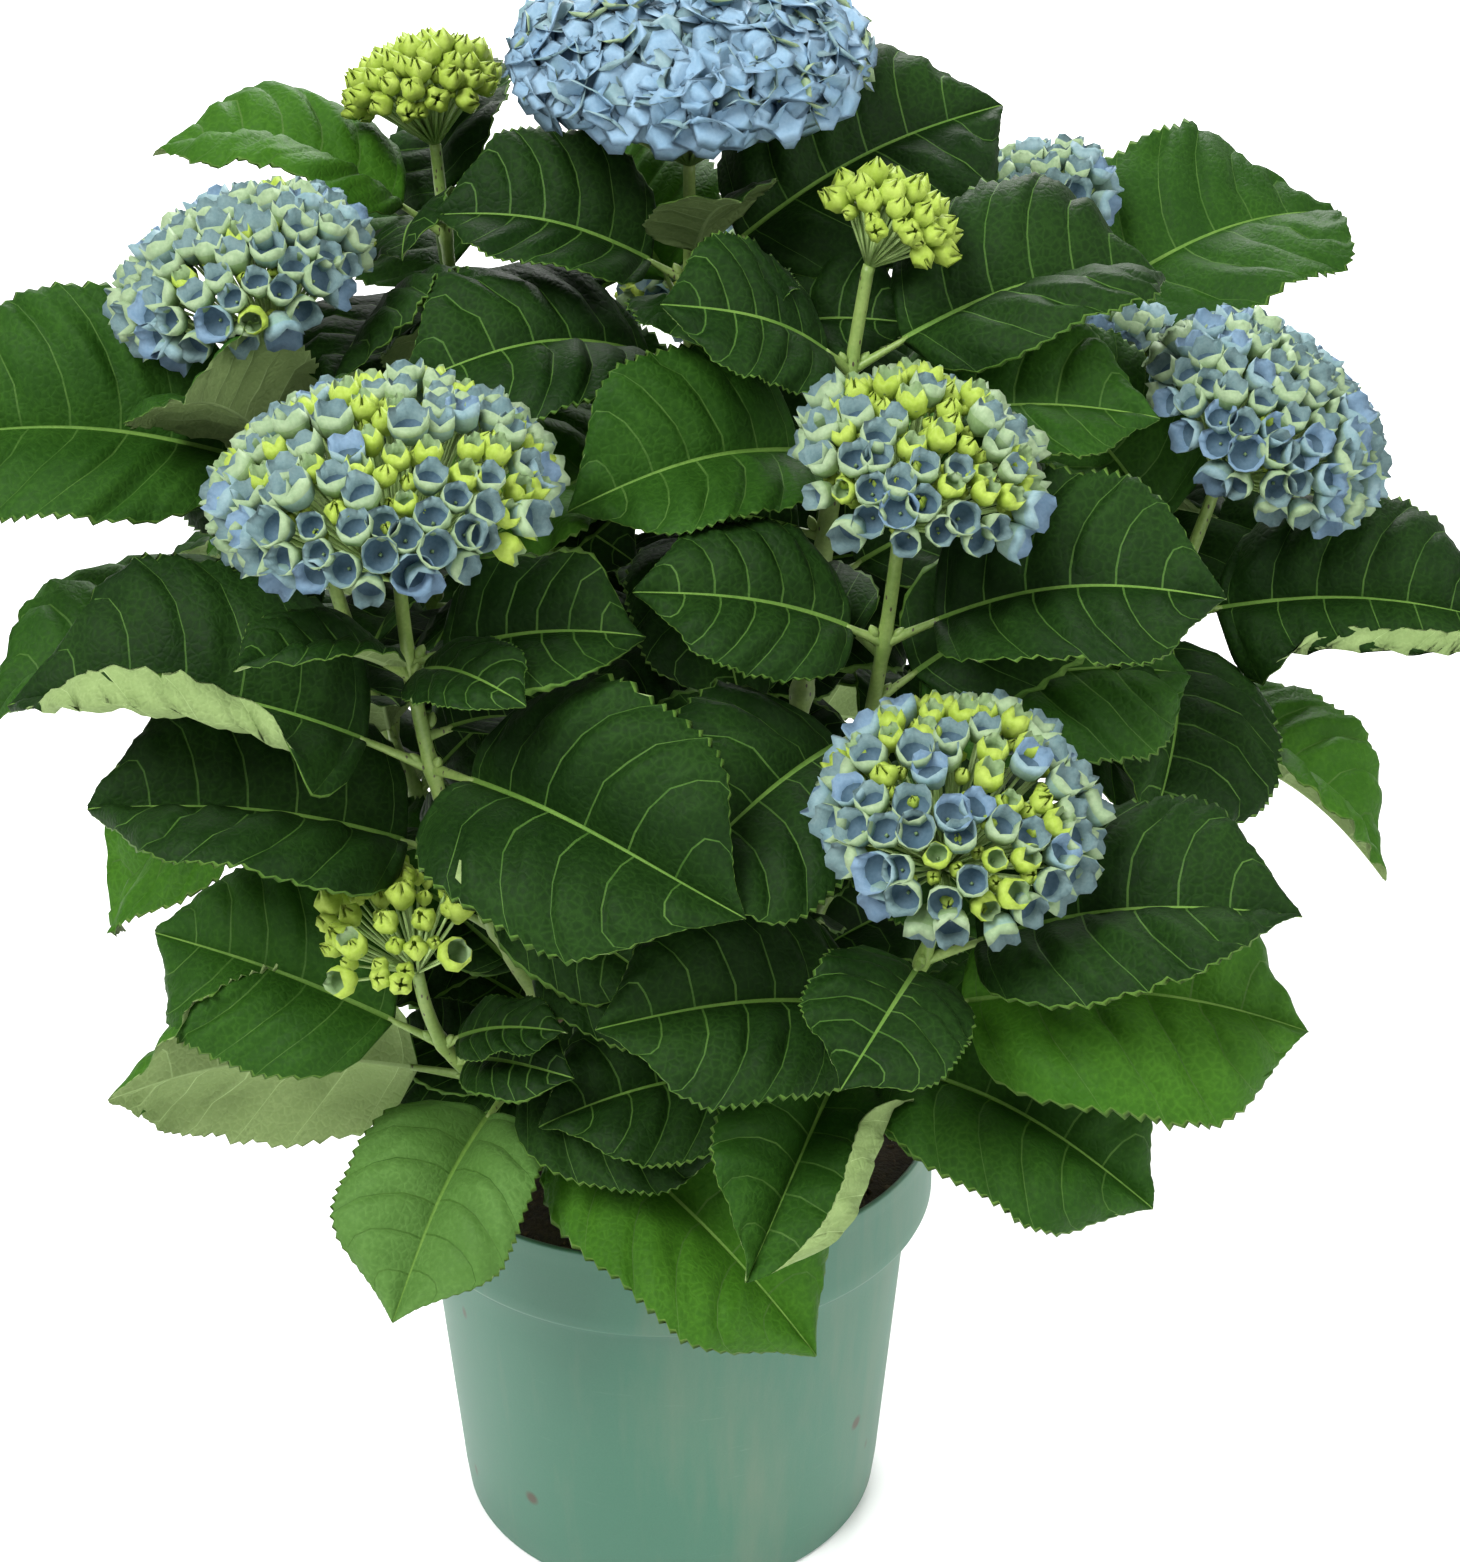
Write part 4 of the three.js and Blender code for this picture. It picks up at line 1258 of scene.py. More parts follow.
@dataclass
class LeafForm:
    """The fine form of a leaf blade: side veins, teeth, quilting and a midrib, in millimetres."""

    veins: int = 6
    teeth: int = 4
    first_vein: float = 0.055
    last_vein: float = 0.80
    reach: float = 0.40
    bend: float = 1.75
    vein_half: float = 0.40
    midrib_half: float = 1.05
    tooth: float = 0.046
    tip_start: float = 0.78
    tip_pinch: float = 0.55
    quilt: float = 4.4
    lump: float = 0.50
    lump_waves: int = 7
    shoulder: float = 0.22
    lap_start: float = 0.57
    lap_bend: float = 1.7
    thickness: float = 0.5
    keel: float = 1.0
    columns: tuple[float, ...] = (0.0, 0.12, 0.3, 0.5, 0.7, 0.87, 0.975, 1.0)
    names: tuple[str, ...] = (
        *(tone.value for tone in Tone), "leaf_under", "leaf_midrib", "leaf_vein", "leaf_rim",
        "leaf_under_vein",
    )
    usual_length: float = 110.0

    def __post_init__(self) -> None:
        """Lays out the rows, which follow the side veins.

        Each row has its place along the midrib, which edge of a vein it is, its share of the way from
        one vein to the next, and whether it ends in a notch between two teeth.
        """
        marks = [0.0, *np.linspace(self.first_vein, self.last_vein, self.veins), 1.0]
        rows = [(0.0, 0.0, 0.0, 0.0)]
        for k in range(self.veins + 1):
            inner = (2 * self.teeth - 1 if k else 3) + (2 if k == self.veins else 0)
            for n in range(1, inner + 1):
                share = n / (inner + 1)
                rows.append((marks[k] + (marks[k + 1] - marks[k]) * share, 0.0, share, float(n % 2)))
            if k < self.veins:
                rows += [(marks[k + 1], edge, 0.0, 0.0) for edge in (-1.0, 1.0)]
        rows.append((1.0, 0.0, 0.0, 0.0))
        self.start, self.lean, self.between, self.notch = np.array(rows).T
        self.strip = self.lean[:-1] < 0
        self.rows = len(rows)
        half = np.array(self.columns)
        self.across = np.concatenate([-half[::-1], [0.0], half])
        self.middle = len(self.columns)

    def _lay(self, blade: Blade, chance: np.random.Generator) -> tuple[np.ndarray, np.ndarray, np.ndarray]:
        """Places the blade's sheet.

        Args:
            blade: the coarse blade.
            chance: the leaf's own random numbers.

        Returns:
            The middle surface's corners, its upward directions and the share of each corner along the blade.
        """
        across = self.across[None, :]
        u = np.abs(across)
        hand = np.where(np.arange(len(self.across)) < self.middle, -1.0, 1.0)[None, :]
        start = self.start[:, None]
        ends = np.sin(math.pi * start) ** 0.35
        offset = 0.012 * hand * ends
        forward = self.reach * start**0.55 * (1 - start) ** 0.85 * 1.35
        step = 1.0 / self.rows
        share = start + offset + forward * u**self.bend
        share = share + self.lean[:, None] * self.vein_half / blade.length * (1 - 0.7 * u) * ends
        share = share - self.notch[:, None] * 0.45 * step * u**8
        share = np.clip(share, 0, 1)
        share[0], share[-1] = 0, 1
        full = 1 + self.shoulder * np.exp(-(((share - 0.76) / 0.17) ** 2))
        pinch = 1 - self.tip_pinch * np.clip((share - self.tip_start) / (1 - self.tip_start), 0, 1) ** 1.3
        width = blade.half_width * blade_width(share) * full * pinch
        width = width * (1 - self.tooth * self.notch[:, None] * u**8)
        rib = self.midrib_half * (1 - 0.8 * share)
        away = rib + u * np.maximum(width - rib, 0)
        away[:, self.middle] = 0
        lateral = away * hand
        size = blade.length / self.usual_length
        fold = math.sin(math.radians(GROWTH.fold))
        cup = chance.uniform(-0.16, 0.30) + blade.plan.curl
        recurve = chance.uniform(-0.85, -0.10)
        part = away / np.maximum(width, 1e-6)
        height = width * ((fold - 0.75 * recurve + cup) * part + recurve * part**2)
        groove = -0.5 * size * np.exp(-((away / 2.4) ** 2)) * (1 - share)
        quilt = self.quilt * size * np.sin(math.pi * self.between)[:, None]
        quilt = quilt**0.75 * np.sin(math.pi * np.clip(u * 0.94, 0, 1)) ** 0.6 * ends
        lumps = self._lumps(lateral, share * blade.length, chance)
        quilt = quilt + lumps * np.clip(6 * u, 0, 1) * ends * size
        wave = size * chance.uniform(2.0, 5.2) * u**2 * ends
        phase = chance.uniform(0, 2 * math.pi, 2)
        turns = chance.uniform(0.9, 2.2)
        ripple = np.sin(2 * math.pi * turns * share + np.where(hand < 0, phase[0], phase[1]))
        fine = 0.5 * size * u**4 * np.sin(2 * math.pi * 8.5 * share + phase[1] * hand) * ends
        height = height + groove + quilt + wave * ripple + fine
        droop = chance.uniform(0.0, 0.13) * blade.length * np.clip((share - 0.3) / 0.7, 0, 1) ** 2
        height = height - droop
        twist = math.radians(chance.uniform(-20, 20)) * share
        sickle = chance.uniform(-0.045, 0.045) * blade.length * share**2
        if blade.plan.lap:
            lateral, height = self._lap(blade, lateral, height, away, width, share)
        level = lateral * np.cos(twist) - height * np.sin(twist) + sickle
        upright = lateral * np.sin(twist) + height * np.cos(twist)
        whole = GROWTH.petiole + (1 - GROWTH.petiole) * share
        facing = blade.facing(whole)
        sheet = blade.midrib(whole) + blade.side * level[..., None] + facing * upright[..., None]
        if blade.plan.lap:
            facing = unit(np.cross(np.gradient(sheet, axis=1), np.gradient(sheet, axis=0)))
        return sheet, facing, share

    def _lap(
        self, blade: Blade, lateral: np.ndarray, height: np.ndarray, away: np.ndarray, width: np.ndarray,
        share: np.ndarray,
    ) -> tuple[np.ndarray, np.ndarray]:
        """Folds the outer part of one half of the blade up and over.

        Args:
            blade: the coarse blade, whose plan gives the fold.
            lateral: each corner's place across the blade.
            height: its height.
            away: its distance from the midrib.
            width: the half's width there.
            share: its share of the way along.

        Returns:
            The folded places and heights.
        """
        side = math.copysign(1.0, blade.plan.lap)
        most = math.radians(abs(blade.plan.lap)) * np.clip((share - 0.12) / 0.25, 0, 1)
        start = width * self.lap_start
        past = np.where(lateral * side > 0, np.clip(away - start, 0, None), 0)
        angle = np.minimum(past / self.lap_bend, most)
        rest = past - angle * self.lap_bend
        bent = self.lap_bend * np.sin(angle) + rest * np.cos(angle)
        lift = self.lap_bend * (1 - np.cos(angle)) + rest * np.sin(angle)
        folded = past > 0
        return np.where(folded, side * (start + bent), lateral), np.where(folded, height + lift, height)

    def _lumps(self, across: np.ndarray, along: np.ndarray, chance: np.random.Generator) -> np.ndarray:
        """Uneven swellings of the blade, about a centimetre apart.

        Args:
            across: each corner's place across the blade.
            along: each corner's place along it.
            chance: the leaf's own random numbers.

        Returns:
            The height of each corner.
        """
        total = np.zeros(np.broadcast(across, along).shape)
        for _ in range(self.lump_waves):
            pitch = chance.uniform(0.33, 0.75)
            turn = chance.uniform(0, math.pi)
            run = across * math.cos(turn) + along * math.sin(turn)
            total += np.sin(pitch * run + chance.uniform(0, 6.3))
        return self.lump * total

    def add(self, stock: Stock, blade: Blade, tone: Tone, chance: np.random.Generator) -> None:
        """Adds one leaf blade as a thin closed shell.

        Args:
            stock: gathers the leaves.
            blade: the coarse blade.
            tone: the colour of its upper side.
            chance: the leaf's own random numbers.
        """
        sheet, facing, share = self._lay(blade, chance)
        rows, columns = sheet.shape[:2]
        u = np.abs(self.across)[None, :]
        lens = self.thickness / 2 * np.sqrt(np.clip(1 - u**2, 0, 1)) * np.ones((rows, 1))
        keel = np.zeros((rows, columns))
        keel[:, self.middle] = self.keel
        keel[:, [self.middle - 1, self.middle + 1]] = self.keel * 0.45
        keel = keel * (1 - 0.85 * share)
        upper = sheet + facing * lens[..., None]
        lower = sheet - facing * (lens + keel)[..., None]
        inner, below = rimmed(rows, columns)
        upper[~inner] = sheet[~inner]
        corners = np.concatenate([upper.reshape(-1, 3), lower[inner]])
        quads = sheet_faces(rows, columns)
        under = below.reshape(-1)[quads]
        place = {name: k for k, name in enumerate(self.names)}
        top = np.full((rows - 1, columns - 1), place[tone.value])
        bottom = np.full((rows - 1, columns - 1), place["leaf_under"])
        top[self.strip, 1:-1] = place["leaf_vein"]
        bottom[self.strip, 1:-1] = place["leaf_under_vein"]
        top[:, [0, -1]] = place["leaf_rim"]
        top[:, [self.middle - 1, self.middle]] = place["leaf_midrib"]
        bottom[:, [self.middle - 1, self.middle]] = place["leaf_under_vein"]
        faces = np.concatenate([quads[:, [0, 3, 2, 1]], under])
        stock.add(corners, faces, np.concatenate([top.reshape(-1), bottom.reshape(-1)]))


@dataclass
class Foliage:
    """All the leaf blades, joined in a few pieces."""

    form: LeafForm = field(default_factory=LeafForm)
    inner_form: LeafForm = field(default_factory=lambda: LeafForm(
        teeth=2, columns=(0.0, 0.2, 0.55, 0.93, 1.0), quilt=2.0))
    groups: tuple[tuple[str, tuple[str, ...]], ...] = (
        ("leaves_top", ("crown", "top_left", "left", "inner_right")),
        ("leaves_front", ("front_left", "front_right", "low_right", "low_left", "right")),
        ("leaves_back", ("right_back", "back_right", "back", "back_left", "back_low")),
    )
    seed: int = 7

    def build(self, placed: Sequence[PlacedLeaf], inner: Sequence[PlacedLeaf], palette: Palette) -> None:
        """Makes the pieces.

        Args:
            placed: the leaves of the plan.
            inner: the smaller leaves inside the plant.
            palette: the finishes.
        """
        materials = palette.materials(self.form.names)
        stocks = {name: Stock() for name, _ in self.groups}
        home = {shoot: name for name, shoots in self.groups for shoot in shoots}
        within = Stock()
        for number, spot in enumerate([*placed, *inner]):
            chance = np.random.default_rng([self.seed, number])
            blade = spot.shape.blade
            any_tone = chance.choice([Tone.DARK, Tone.MID, Tone.BRIGHT], p=[0.6, 0.3, 0.1])
            tone = blade.plan.tone or any_tone
            if number < len(placed):
                self.form.add(stocks[home[spot.line.plan.name]], blade, tone, chance)
            else:
                self.inner_form.add(within, blade, tone, chance)
        for name, shoots in self.groups:
            put_piece(stocks[name].mesh(name, materials), [f"shoot_{shoot}" for shoot in shoots])
        put_piece(within.mesh("leaves_inner", materials))


# ---------------------------------------- stems


@dataclass
class Stems:
    """The canes, leaf stalks and buds in the leaf axils, and the woody stool, in millimetres."""

    sides: int = 14
    step: float = 2.6
    swelling: float = 0.30
    swelling_reach: float = 4.5
    bark_share: float = 0.30
    bark_relief: float = 0.09
    scar_spacing: float = 46.0
    stalk_sides: int = 8
    stalk_root: float = 2.5
    stalk_end: float = 1.35
    bud_length: float = 6.0
    bud_width: float = 1.9
    bud_sides: int = 7
    stool_foot: float = 191.3
    stool_radius: float = 30.0
    seed: int = 11
    names: tuple[str, ...] = ("stem_green", "stem_bark", "stool_bark")

    def _cane(self, stock: Stock, line: ShootLine, chance: np.random.Generator) -> None:
        """Adds one cane, woody below and green above, swollen at every node.

        Args:
            stock: gathers the canes.
            line: the cane's line.
            chance: the cane's own random numbers.
        """
        runs = np.linspace(-2.0, line.length + 1.0, int(line.length / self.step))
        points = line.at(runs)
        points[0, 2] -= 2.0
        points[-1] = line.top + line.face * 1.0
        nodes = [line.length - node.drop for node in line.plan.pairs]
        nodes += list(np.arange(self.scar_spacing * 0.5, line.split - 12, self.scar_spacing))
        bulge = sum(np.exp(-(((runs - node) / self.swelling_reach) ** 2)) for node in nodes)
        woody = np.clip((self.bark_share * line.length - runs) / 30 + 0.5, 0, 1)
        angles = np.arange(self.sides) * 2 * math.pi / self.sides
        phase = chance.uniform(0, 2 * math.pi, 4)
        ridges = np.sin(3 * angles[None] + phase[0] + 0.05 * runs[:, None])
        ridges = ridges + 0.7 * np.sin(5 * angles[None] + phase[1] - 0.09 * runs[:, None])
        rough = chance.normal(0, 0.35, (len(runs), self.sides))
        relief = 1 + (ridges * 0.6 + rough) * self.bark_relief * (0.12 + woody[:, None])
        radii = line.radius(np.clip(runs, 0, None))[:, None] * (1 + self.swelling * bulge[:, None]) * relief
        corners, faces = tube(points, radii, self.sides)
        edge = self.bark_share * line.length + 9 * np.sin(2 * angles + phase[2])
        edge = edge + 5 * np.sin(5 * angles + phase[3])
        body = (runs[:-1, None] < edge[None]).astype(int).reshape(-1)
        slots = np.concatenate([body, np.full(self.sides, 1), np.full(self.sides, 0)])
        stock.add(corners, faces, slots)

    def _stalk(self, stock: Stock, blade: Blade) -> None:
        """Adds a leaf's stalk, thick where it clasps the stem.

        Args:
            stock: gathers the stalks.
            blade: the leaf.
        """
        share = np.linspace(0, 1, 9)
        whole = share * (GROWTH.petiole + 0.02)
        points = blade.midrib(whole) - blade.facing(whole) * 0.5
        radii = self.stalk_end + (self.stalk_root - self.stalk_end) * (1 - share) ** 1.6
        stock.add(*tube(points, radii, self.stalk_sides, flat=0.85), 0)

    def _bud(self, stock: Stock, blade: Blade, line: ShootLine, run: float) -> None:
        """Adds the small pointed bud in a leaf's axil.

        Args:
            stock: gathers the buds.
            blade: the leaf.
            line: its shoot's line.
            run: how far along that line its node is.
        """
        along = line.heading(run)
        out = unit(blade.ahead - along * float(blade.ahead @ along))
        ahead = unit(out * 0.55 + along)
        share = np.linspace(0, 1, 6)
        radius = line.radius(np.array(run)) + 0.6
        points = blade.node + out * radius + along * 2.0 + ahead * (share * self.bud_length)[:, None]
        radii = self.bud_width * np.sin(math.pi * np.clip(share * 0.86 + 0.12, 0, 1)) ** 0.8
        stock.add(*tube(points, radii, self.bud_sides), 0)

    def _stool(self, stock: Stock, chance: np.random.Generator) -> None:
        """Adds the knobbly woody stool.

        Args:
            stock: takes the stool.
            chance: its random numbers.
        """
        rings, sides = 14, 44
        share = np.linspace(0, 1, rings)[:, None]
        angles = np.arange(sides)[None] * 2 * math.pi / sides
        knobs = ((2, 0.05, 0.4), (3, 0.06, 2.1), (5, 0.05, 4.0), (9, 0.03, 1.2))
        lumps = sum(size * np.sin(count * angles + turn) for count, size, turn in knobs)
        radius = self.stool_radius * (1 - share**3.2 * 0.98) * (1 + lumps * (1 - share))
        radius = radius + chance.normal(0, 0.25, (rings, sides))
        height = GROWTH.stool_top - self.stool_foot
        rise = self.stool_foot + height * np.sin(share * math.pi / 2) ** 0.9
        rise = rise + chance.normal(0, 0.35, (rings, sides)) * (share > 0.1) * (share < 0.95)
        stock.add(*close_rings(round_rings(radius, rise), UP * self.stool_foot, UP * GROWTH.stool_top), 2)

    def build(self, lines: Sequence[ShootLine], placed: Sequence[PlacedLeaf], palette: Palette) -> None:
        """Makes the stems' pieces.

        Args:
            lines: all the shoots' lines.
            placed: every leaf that has its place.
            palette: the finishes.
        """
        materials = palette.materials(self.names)
        canes, stalks, stool = Stock(), Stock(), Stock()
        for number, line in enumerate(lines):
            self._cane(canes, line, np.random.default_rng([self.seed, number]))
        for spot in placed:
            self._stalk(stalks, spot.shape.blade)
            self._bud(stalks, spot.shape.blade, spot.line, spot.line.length - spot.drop)
        self._stool(stool, np.random.default_rng(self.seed))
        put_piece(canes.mesh("canes", materials), [f"cane_{line.plan.name}" for line in lines])
        put_piece(stalks.mesh("leaf_stalks", materials))
        put_piece(stool.mesh("woody_stool", materials), ["stem_stool"])


# ---------------------------------------- flower heads

SEPALS = tuple(f"sepal_{tint}" for tint in (
    "lime", "cream", "green", "pale", "mist", "blue", "slate", "deep", "sky", "dusk",
))


def slots_of(*tints: str) -> list[int]:
    """The material slots of some tints of sepal."""
    return [SEPALS.index(f"sepal_{tint}") for tint in tints]


def add_bead(stock: Stock, size: float, foot: float, length: float) -> None:
    """Adds the small bead in the middle of a floret.

    Args:
        stock: gathers the floret's shapes.
        size: the bead's radius.
        foot: the height of its lower end.
        length: its length.
    """
    share = np.linspace(0, 1, 3)
    points = UP * (foot + share * length)[:, None]
    stock.add(*tube(points, size * np.sin(math.pi * (0.15 + 0.7 * share)), 4), slots_of("green")[0])


@dataclass(frozen=True)
class FloretForm:
    """An open floret: four sepals on a stalk, in millimetres and degrees.

    Tints are from outside to deep inside; the tint of the innermost row, a little darker on some kinds, is
    painted shade at the floret's heart.
    """

    name: str
    length: float
    width: float
    rising: float
    closing: float
    outer: str
    inner: str
    deep: str
    rim: str
    ruffle: float
    notch: float
    seed: int
    thickness: float = 0.35
    base: float = 0.9
    bead_size: float = 0.9

    def _sepal(self, azimuth: float, scale: float, chance: np.random.Generator) -> Shape:
        """Lays one sepal.

        Args:
            azimuth: where the sepal stands round the floret.
            scale: its size against its neighbours.
            chance: the floret's own random numbers.

        Returns:
            The corners of its middle surface and their outward directions.
        """
        v, c = np.meshgrid([0, 0.36, 0.74, 1.0], [-1, -0.4, 0.4, 1.0], indexing="ij")
        v = v * (1 - self.notch * np.abs(c) ** 2.2 * v)
        fine = np.linspace(0, 1, 41)
        slope = np.radians(self.rising + (self.closing - self.rising) * fine)
        step = self.length * scale / 40
        out = self.base + np.concatenate([[0], np.cumsum(np.cos(slope[:-1]) * step)])
        rise = np.concatenate([[0], np.cumsum(np.sin(slope[:-1]) * step)])
        radius, height, tilt = (np.interp(v, fine, line) for line in (out, rise, slope))
        wide = self.width / 2 * scale * np.sin(math.pi * np.clip(0.12 + 0.62 * v, 0, 1)) ** 0.8
        turn = math.radians(azimuth) + np.clip(c * wide / np.maximum(radius, 0.6), -1.15, 1.15)
        wave = self.ruffle * chance.normal(0, 1, v.shape) * v**2
        normal = np.stack([np.sin(tilt) * np.cos(turn), np.sin(tilt) * np.sin(turn), -np.cos(tilt)], -1)
        point = np.stack([radius * np.cos(turn), radius * np.sin(turn), height], -1)
        return point + normal * wave[..., None], normal

    def add(self, stock: Stock) -> None:
        """Adds the floret, with its foot at the origin and facing up.

        Args:
            stock: gathers its shapes.
        """
        chance = np.random.default_rng(self.seed)
        inner, below = rimmed(4, 4)
        quads = sheet_faces(4, 4)
        faces = np.concatenate([quads, below.reshape(-1)[quads][:, [0, 3, 2, 1]]])
        outer, inside, deep, rim = slots_of(self.outer, self.inner, self.deep, self.rim)
        # The row nearest the middle on the inner side takes its own tint: painted shade where that tint is
        # darker.
        slots = np.repeat([outer, outer, rim, deep, inside, inside], 3)
        spin = chance.uniform(0, 90)
        for azimuth, scale, layer in ((0, 1.0, 0.25), (180, 1.0, 0.25), (90, 0.93, -0.1), (270, 0.93, -0.1)):
            turn = spin + azimuth + chance.uniform(-8, 8)
            point, normal = self._sepal(turn, scale * chance.uniform(0.94, 1.06), chance)
            half = self.thickness / 2 * inner[..., None]
            lift = normal * layer
            upper = (point + normal * half + lift).reshape(-1, 3)
            stock.add(np.concatenate([upper, (point - normal * half + lift)[inner]]), faces, slots)
        add_bead(stock, self.bead_size, 0.6, self.bead_size * 2)


@dataclass(frozen=True)
class CupForm:
    """A floret that is still a cup: four sepals that overlap into one round wall, in millimetres."""

    name: str
    height: float
    belly: float
    mouth: float
    outer: str
    rim: str
    inner: str
    deep: str
    seed: int
    crease: float = 0.11
    notch: float = 0.17
    foot: float = 1.3
    sides: int = 12
    floor: float = 0.14
    bead_size: float = 0.8

    def add(self, stock: Stock) -> None:
        """Adds the floret, with its foot at the origin and facing up.

        Args:
            stock: gathers its shapes.
        """
        chance = np.random.default_rng(self.seed)
        joint = (np.arange(self.sides) % (self.sides // 4) == 0).astype(float)
        lobe = np.repeat(chance.uniform(0.92, 1.08, 4), self.sides // 4)
        uneven = 1 + chance.normal(0, 0.02, self.sides)
        body = (1 - self.crease * joint) * uneven
        radii = np.stack([
            self.foot * uneven,
            self.belly * 0.82 * body,
            self.belly * body,
            self.mouth * (1 - 0.5 * self.crease * joint) * uneven,
            self.belly * 0.80 * uneven,
        ])
        levels = np.array([0.0, 0.26, 0.62, 1.0, 0.40])[:, None] * self.height
        rise = np.array([0.0, 0.2, 0.5, 1.0, 0.3])[:, None]
        heights = levels * (1 + rise * (lobe - 1 - self.notch * joint))
        floor = self.height * self.floor
        corners, faces = close_rings(round_rings(radii, heights), UP * 0, UP * floor)
        outer, rim, inner, deep = slots_of(self.outer, self.rim, self.inner, self.deep)
        # The inner wall and the floor inside take their own tints: painted shade in the hollow, where they
        # are darker than the outside.
        stock.add(corners, faces, np.repeat([outer, outer, rim, inner, outer, deep], self.sides))
        add_bead(stock, self.bead_size, floor, self.bead_size * 2.4)


# The kinds of floret on most heads, from closed to open. The tints inside the cups, where darker than the
# outside, are painted shade in the hollow.
CUPS = (
    CupForm("cup_0", 10.2, 4.6, 0.9, "lime", "lime", "lime", "lime", 3, crease=0.18),
    CupForm("cup_1", 10.8, 5.4, 3.8, "lime", "lime", "green", "green", 5, crease=0.14),
    CupForm("cup_2", 11.2, 6.0, 5.3, "green", "cream", "slate", "deep", 8),
    CupForm("cup_3", 11.6, 6.4, 6.1, "pale", "cream", "slate", "deep", 13),
    CupForm("cup_4", 12.0, 6.8, 6.9, "pale", "mist", "blue", "deep", 21),
)

# The kinds on the head that has opened most, some a little darker at the heart: painted shade.
WIDE = (
    FloretForm("wide_0", 11.0, 13.0, 14, 96, "green", "mist", "mist", "cream", 0.5, 0.24, 34),
    FloretForm("wide_1", 12.6, 16.0, 22, 66, "mist", "sky", "dusk", "cream", 0.9, 0.28, 55),
    FloretForm("wide_2", 13.4, 17.6, 24, 40, "sky", "sky", "dusk", "mist", 1.2, 0.3, 89),
    FloretForm("wide_3", 14.0, 18.4, 26, 16, "sky", "sky", "sky", "sky", 1.4, 0.3, 144),
    FloretForm("wide_4", 13.2, 18.0, 30, 24, "sky", "mist", "sky", "sky", 1.4, 0.3, 233),
)


@dataclass(frozen=True)
class HeadStyle:
    """How florets are dealt out over a head of a given bloom."""

    spacing: float
    openness: float
    gradient: float
    patches: float
    wide: bool = False
    end: float = -0.14
    size: float = 1.0
    scatter: float = 1.5
    rise: float = 0.46
    upright: float = 0.55
    PASSED_ON: ClassVar = ("rise", "end", "openness", "gradient", "patches", "upright")


STYLES = {
    Bloom.OPEN: HeadStyle(13.6, 0.54, 0.0, 0.7, wide=True, end=-0.34, scatter=1.6, size=1.02, upright=0.1),
    Bloom.BLUE: HeadStyle(11.8, 0.70, 0.16, 0.44, end=-0.32, size=0.96, upright=0.3),
    Bloom.MIXED: HeadStyle(11.8, 0.43, 0.28, 0.70, end=-0.24, size=0.96, upright=0.3),
    Bloom.PALE: HeadStyle(11.8, 0.58, 0.14, 0.46, end=-0.34, size=0.96, upright=0.3),
    Bloom.LIME: HeadStyle(11.0, 0.22, 0.50, 0.52, size=0.94, upright=0.35),
    Bloom.SPARSE: HeadStyle(12.6, 0.02, 0.10, 0.20, end=0.1, scatter=3.4, size=1.06),
    Bloom.BUD: HeadStyle(9.0, 0.02, 0.06, 0.12, end=-0.3, scatter=0.9, size=1.04, rise=0.62),
}


class GrowTree:
    """Geometry Nodes that grow a mesh from named values."""

    NAME = ""
    INPUTS: dict[str, str] = {}

    def __init__(self) -> None:
        """Builds the tree."""
        self.bench = Bench.group(self.NAME, "GeometryNodeTree", self.INPUTS, {"Geometry": "Geometry"})
        self.given = self.bench.put("NodeGroupInput")
        self.bench.close({"Geometry": self._wire()})

    def _wire(self) -> Value:
        """Lays and links the nodes, and gives what has grown."""
        raise NotImplementedError

    def grow(self, ground: bpy.types.Mesh, values: dict[str, Any]) -> bpy.types.Mesh:
        """Runs the tree.

        Args:
            ground: the mesh that goes in.
            values: the other inputs, by name.

        Returns:
            A plain mesh with the instances made real.
        """
        tree = self.bench.tree
        sockets = {item.name: item.identifier for item in tree.interface.items_tree if item.in_out == "INPUT"}
        base = link_item(ground.name, ground)
        modifier = base.modifiers.new(self.NAME, "NODES")
        modifier.node_group = tree
        for name, value in values.items():
            modifier[sockets[name]] = value
        bpy.context.view_layer.update()
        mesh = bpy.data.meshes.new_from_object(base.evaluated_get(bpy.context.evaluated_depsgraph_get()))
        base.modifiers.clear()
        bpy.data.objects.remove(base)
        return mesh


